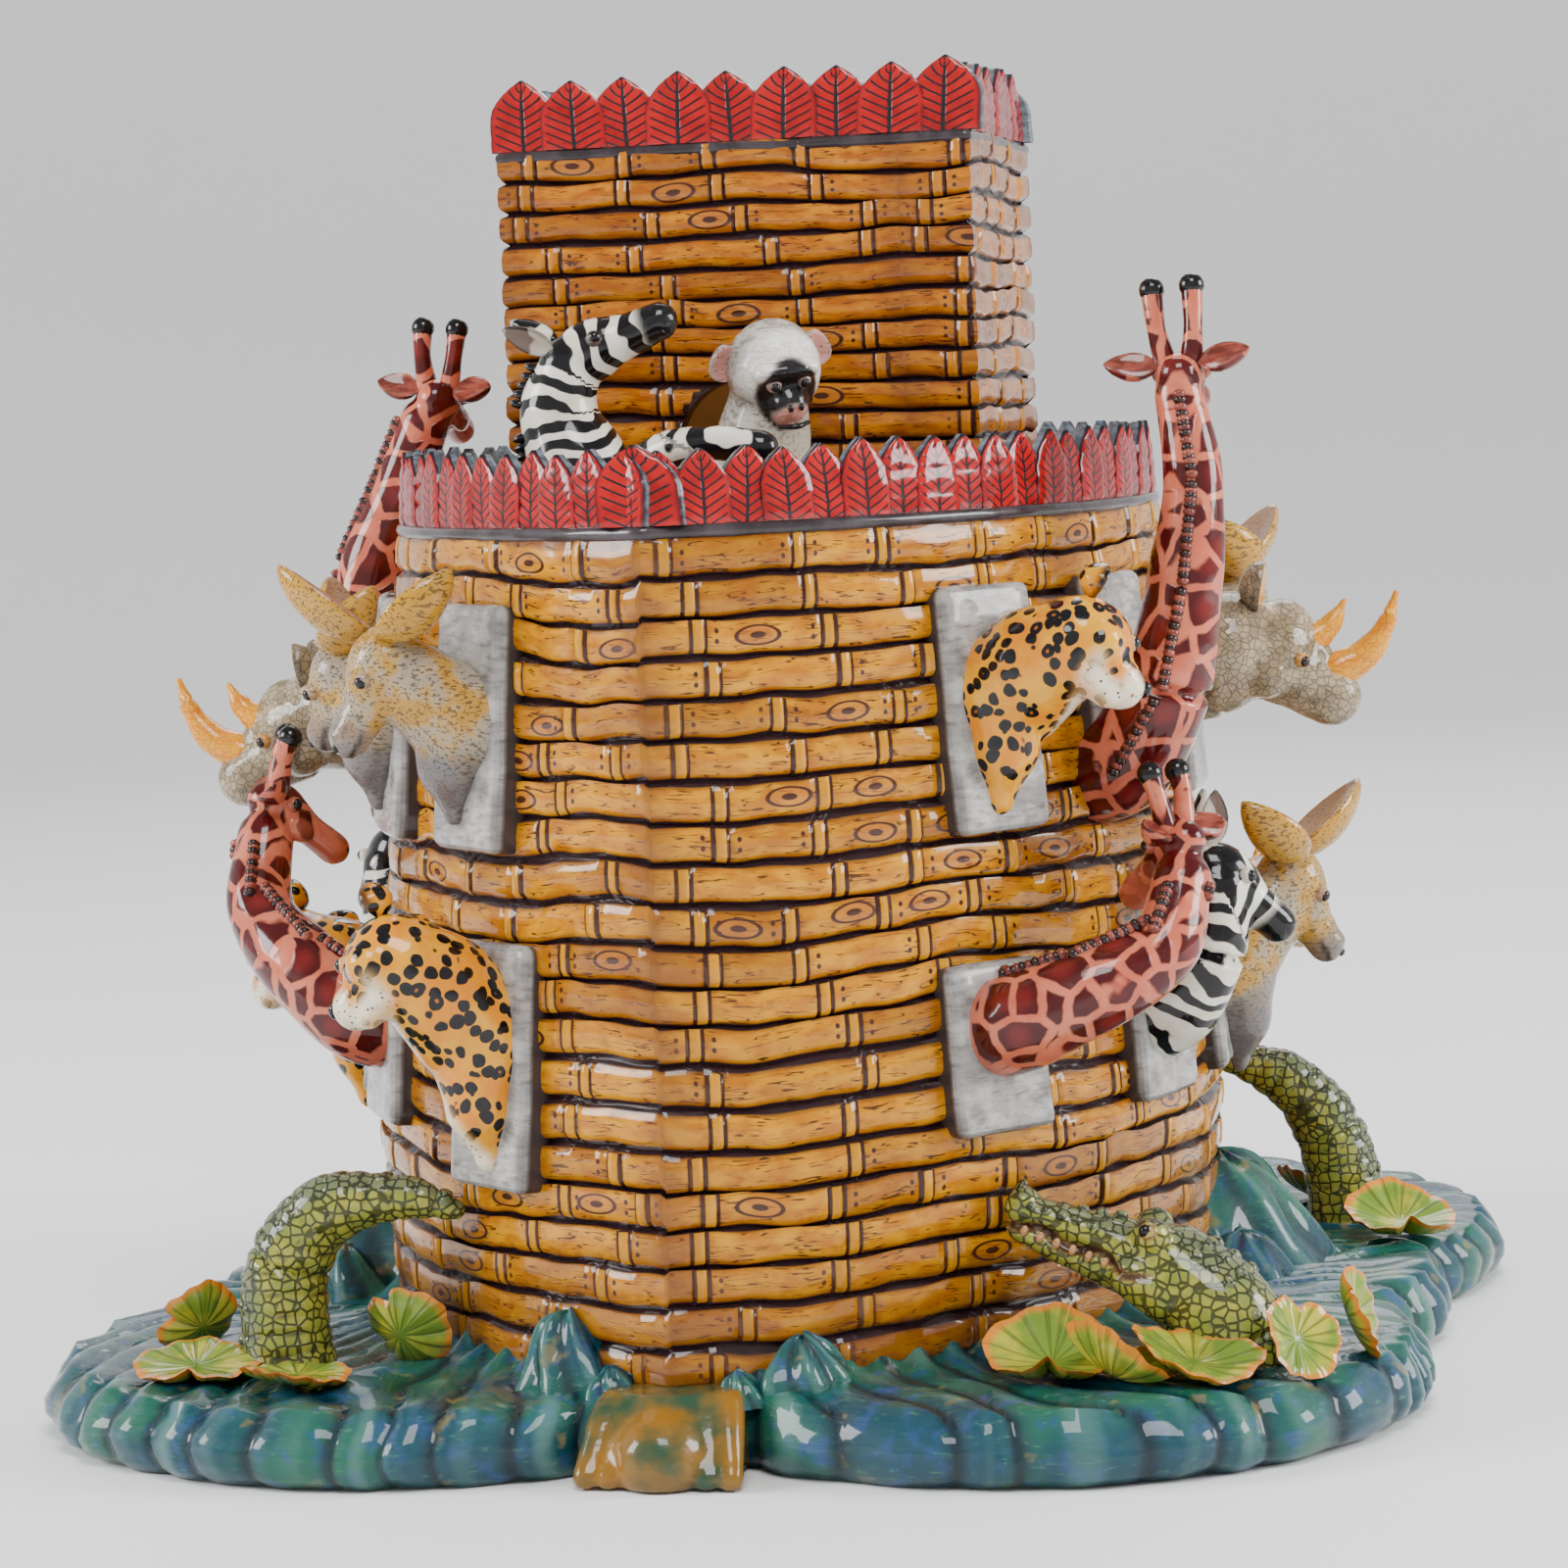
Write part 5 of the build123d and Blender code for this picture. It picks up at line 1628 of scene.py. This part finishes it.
def rhino_coat():
    p = coat("rhino", (0.24, 0.18, 0.1), (0.42, 0.34, 0.22))
    creases = p.cells(warped(p, p.skin, 2.0), 0.42, "DISTANCE_TO_EDGE").outputs["Distance"]
    line = p.falling(creases, 0.02, 0.09)
    hair = hairs(p, p.skin, 1.3)
    color = p.mix(p.times(line, 0.5), p.base, (0.05, 0.035, 0.03))
    color = p.mix(p.times(hair, 0.35), color, (0.07, 0.055, 0.05))
    color = p.mix(p.step(p.brush["Patches"], 0.58, 0.75, 0.0, 0.6), color, (0.3, 0.2, 0.09))
    horn_color = p.mix(p.step(p.brush["Streaks"], 0.4, 0.7), (0.78, 0.33, 0.008), (0.68, 0.2, 0.004))
    color = p.mix(p.extra, color, horn_color)
    color = p.mix(p.dark, color, (0.02, 0.014, 0.012))
    return p.glaze(color, p.times(line, -1.0), roughness=0.2)


def antelope_coat():
    p = coat("antelope", (0.33, 0.27, 0.2), (0.5, 0.4, 0.22))
    color = p.mix(p.step(p.brush["Patches"], 0.42, 0.6, 0.0, 0.9), p.base, (0.46, 0.23, 0.02))
    flap = p.step(p.number("along"), 40, 60)
    color = p.mix(p.times(flap, 0.85), color, (0.5, 0.25, 0.015))
    low = p.times(p.step(p.number("along"), 0.1, 1.0), p.less(1.0, flap))
    color = p.mix(p.times(low, 0.8), color, (0.11, 0.12, 0.14))
    hair = hairs(p, p.skin, 1.2)
    color = p.mix(p.times(hair, 0.7), color, (0.035, 0.022, 0.012))
    color = p.mix(p.times(p.pale, 0.7), color, (0.16, 0.14, 0.14))
    color = p.mix(p.times(p.extra, 0.6), color, (0.42, 0.3, 0.26))
    color = p.mix(p.dark, color, (0.015, 0.01, 0.01))
    return p.glaze(color, hair, roughness=0.18)


def zebra_coat():
    p = coat("zebra", (0.68, 0.62, 0.5), (0.8, 0.77, 0.68))
    bend = p.times(p.noise(p.skin, 0.05, 2.0), 2.6)
    at = p.plus(p.times(p.number("along"), 0.145), bend)
    wave = p.repeats(at)
    stripe = p.falling(wave, 0.22, 0.27)
    color = p.mix(stripe, p.base, INK)
    color = p.mix(p.times(p.extra, 0.5), color, (0.4, 0.3, 0.25))
    color = p.mix(p.dark, color, INK)
    return p.glaze(color, stripe, roughness=0.15)


def monkey_coat():
    p = coat("monkey", (0.4, 0.37, 0.32), (0.58, 0.55, 0.48))
    hair = hairs(p, p.skin, 0.75, 0.52, 0.6)
    color = p.mix(p.times(hair, 0.5), p.base, (0.1, 0.09, 0.085))
    low = p.step(p.parts(p.skin)[2], 282, 300, 0.8, 0.0)
    color = p.mix(low, color, (0.72, 0.66, 0.5))
    color = p.mix(p.pale, color, (0.82, 0.8, 0.74))
    color = p.mix(p.extra, color, (0.72, 0.34, 0.3))
    freckle = p.falling(p.cells(p.skin, 0.55).outputs["Distance"], 0.14, 0.22)
    color = p.mix(p.times(p.times(freckle, p.extra), 0.8), color, (0.1, 0.02, 0.02))
    color = p.mix(p.dark, color, (0.012, 0.01, 0.012))
    return p.glaze(color, hair, roughness=0.2)


def crocodile_coat():
    p = coat("crocodile", (0.22, 0.25, 0.035), (0.42, 0.38, 0.05))
    scales = p.cells(p.skin, 0.3, "DISTANCE_TO_EDGE", 0.6).outputs["Distance"]
    gap = p.falling(scales, 0.05, 0.13)
    color = p.mix(p.step(p.brush["Patches"], 0.5, 0.7, 0.0, 0.7), p.base, (0.10, 0.17, 0.04))
    color = p.mix(p.times(p.extra, 0.75), color, (0.10, 0.13, 0.09))
    color = p.mix(p.times(gap, 0.85), color, (0.012, 0.016, 0.01))
    color = p.mix(p.pale, color, (0.55, 0.27, 0.12))
    color = p.mix(p.dark, color, INK)
    return p.glaze(color, p.times(gap, -1.5), roughness=0.15)


def lily_glaze():
    p = Paint("lily")
    around, out, _ = p.parts(p.vector("pad"))
    brush = p.group(BRUSHWORK, Vector=p.object_place(1.0), Size=0.08)
    color = p.mix(p.step(brush["Patches"], 0.4, 0.62), (0.16, 0.26, 0.03), (0.45, 0.42, 0.04))
    vein = p.repeats(p.times(around, 15.0))
    vein = p.falling(vein, 0.06, 0.14)
    color = p.mix(p.times(vein, 0.7), color, (0.09, 0.14, 0.02))
    edge = p.step(p.plus(out, p.times(brush["Patches"], 0.3)), 0.98, 1.12)
    color = p.mix(p.times(edge, 0.85), color, (0.72, 0.2, 0.02))
    return p.glaze(color, p.times(vein, -1.0), roughness=0.14)


def frame_glaze():
    grey, pale_grey = (0.27, 0.26, 0.25), (0.5, 0.485, 0.46)
    p = coat("window_slab", grey, pale_grey, 0.12)
    color = p.mix(p.step(p.brush["Streaks"], 0.45, 0.7, 0.0, 0.7), p.base, (0.1, 0.09, 0.085))
    color = p.mix(p.step(p.dark, 0.15, 1.0), color, (0.045, 0.032, 0.03))
    return p.glaze(color, p.brush["Streaks"], roughness=0.22)


# ------------------------------------------------------------ putting it together
studio()
LIGHT, MID, DEEP = (0.62, 0.265, 0.0), (0.43, 0.14, 0.0), (0.13, 0.024, 0.001)
timber = timber_glaze("timber_gold", LIGHT, MID, DEEP)
cabin_gold = timber_glaze("timber_amber", (0.54, 0.19, 0.001), (0.36, 0.09, 0.0), (0.12, 0.022, 0.001))
charcoal = plain_glaze("charcoal", (0.025, 0.018, 0.02), (0.05, 0.04, 0.045), 0.1)
keel_paint = plain_glaze("keel_moss", (0.24, 0.11, 0.01), (0.02, 0.06, 0.03), 0.06)
deck_paint = plain_glaze("deck_amber", (0.4, 0.15, 0.02), (0.25, 0.08, 0.012), 0.03)
leaf_red, teal, crocodile, lily = leaf_glaze(), water_glaze(), crocodile_coat(), lily_glaze()
zebra_paint, monkey_paint = zebra_coat(), monkey_coat()
coats = {"leopard": leopard_coat(), "giraffe": giraffe_coat(), "rhino": rhino_coat(),
         "antelope": antelope_coat(), "zebra": zebra_paint, "frame": frame_glaze()}

finish_piece(hull_timber(), timber, "hull_shell", angle=50)
finish_piece(cabin_timber(), cabin_gold, "cabin_walls", "deck_lid", 50)
finish_piece(coil("rim_coil", hull_place, 400, HULL_RIM), charcoal, "rim_band")
finish_piece(coil("cabin_coil", cabin_place, 500, cabin_high.z), charcoal,
             "cabin_band", "deck_lid")
for side in ("starboard", "port"):
    row = leaf_row(f"rim_leaf_row_{side}", rim_row(side == "port"), 12.8, 22, 3 + (side == "port"))
    finish_piece(row, leaf_red, f"rim_leaves_{side}", angle=45)
for end, sign in (("prow", -1), ("stern", 1)):
    corner = Vector((0, sign * (HALF_LENGTH - 5 * MM), HULL_RIM))
    row = leaf_row(f"{end}_corner_leaf", [(corner, Vector((0, sign, 0)), 1.0)], 19, 24, 40 + sign, 9)
    finish_piece(row, leaf_red, f"{end}_leaf", angle=45)
for end, axis, sign, count, length, face in (("fore", "y", -1, 9, 148, 53), ("aft", "y", 1, 9, 148, 53),
                                             ("starboard", "x", 1, 6, 96, 74), ("port", "x", -1, 6, 96, 74)):
    places = cabin_row(axis, sign, count, length, face)
    row = leaf_row(f"cabin_leaf_row_{end}", places, length / count, 22, 60 + count, 7)
    finish_piece(row, leaf_red, f"cabin_leaves_{end}", "deck_lid", 45)

fill_windows(coats)
finish_piece(water_slab(), teal, "water_base")
for end in ("fore", "aft"):
    finish_piece(keel_foot(end == "fore"), keel_paint, f"keel_{end}")
    crests = joined(f"crests_{end}", [splash("crest", *crest) for crest in CRESTS])
    if end == "aft":
        turned(crests)
    finish_piece(crests, teal, f"splash_crests_{end}")
for side in ("starboard", "port"):
    wave = joined(f"wave_{side}_rise", [splash("wave", *swell) for swell in SWELLS])
    if side == "port":
        turned(wave)
    finish_piece(wave, teal, f"wave_{side}")
for name, pads in PADS.items():
    made = [lily_pad(*pad[:-1], k + 1.3, pad[-1]) for k, pad in enumerate(pads)]
    finish_piece(joined(f"pads_{name}", made), lily, f"lily_pads_{name}")
for end in ("fore", "aft"):
    head = crocodile_head()
    if end == "aft":
        turned(head)
    finish_piece(head, crocodile, f"crocodile_head_{end}")
for end, line, radii, middle in TAILS:
    tail = crocodile_tail(line, radii, Vector(middle))
    finish_piece(tail, crocodile, f"crocodile_tail_{end}")
finish_piece(make_monkey(), monkey_paint, "monkey", "deck_lid")
finish_piece(make_deck_zebra(), zebra_paint, "deck_zebra", "deck_lid")
for node in ("deck", "deck_ledge"):
    o = bpy.data.objects.get(node)
    if o:
        o.data.materials.clear()
        o.data.materials.append(deck_paint)
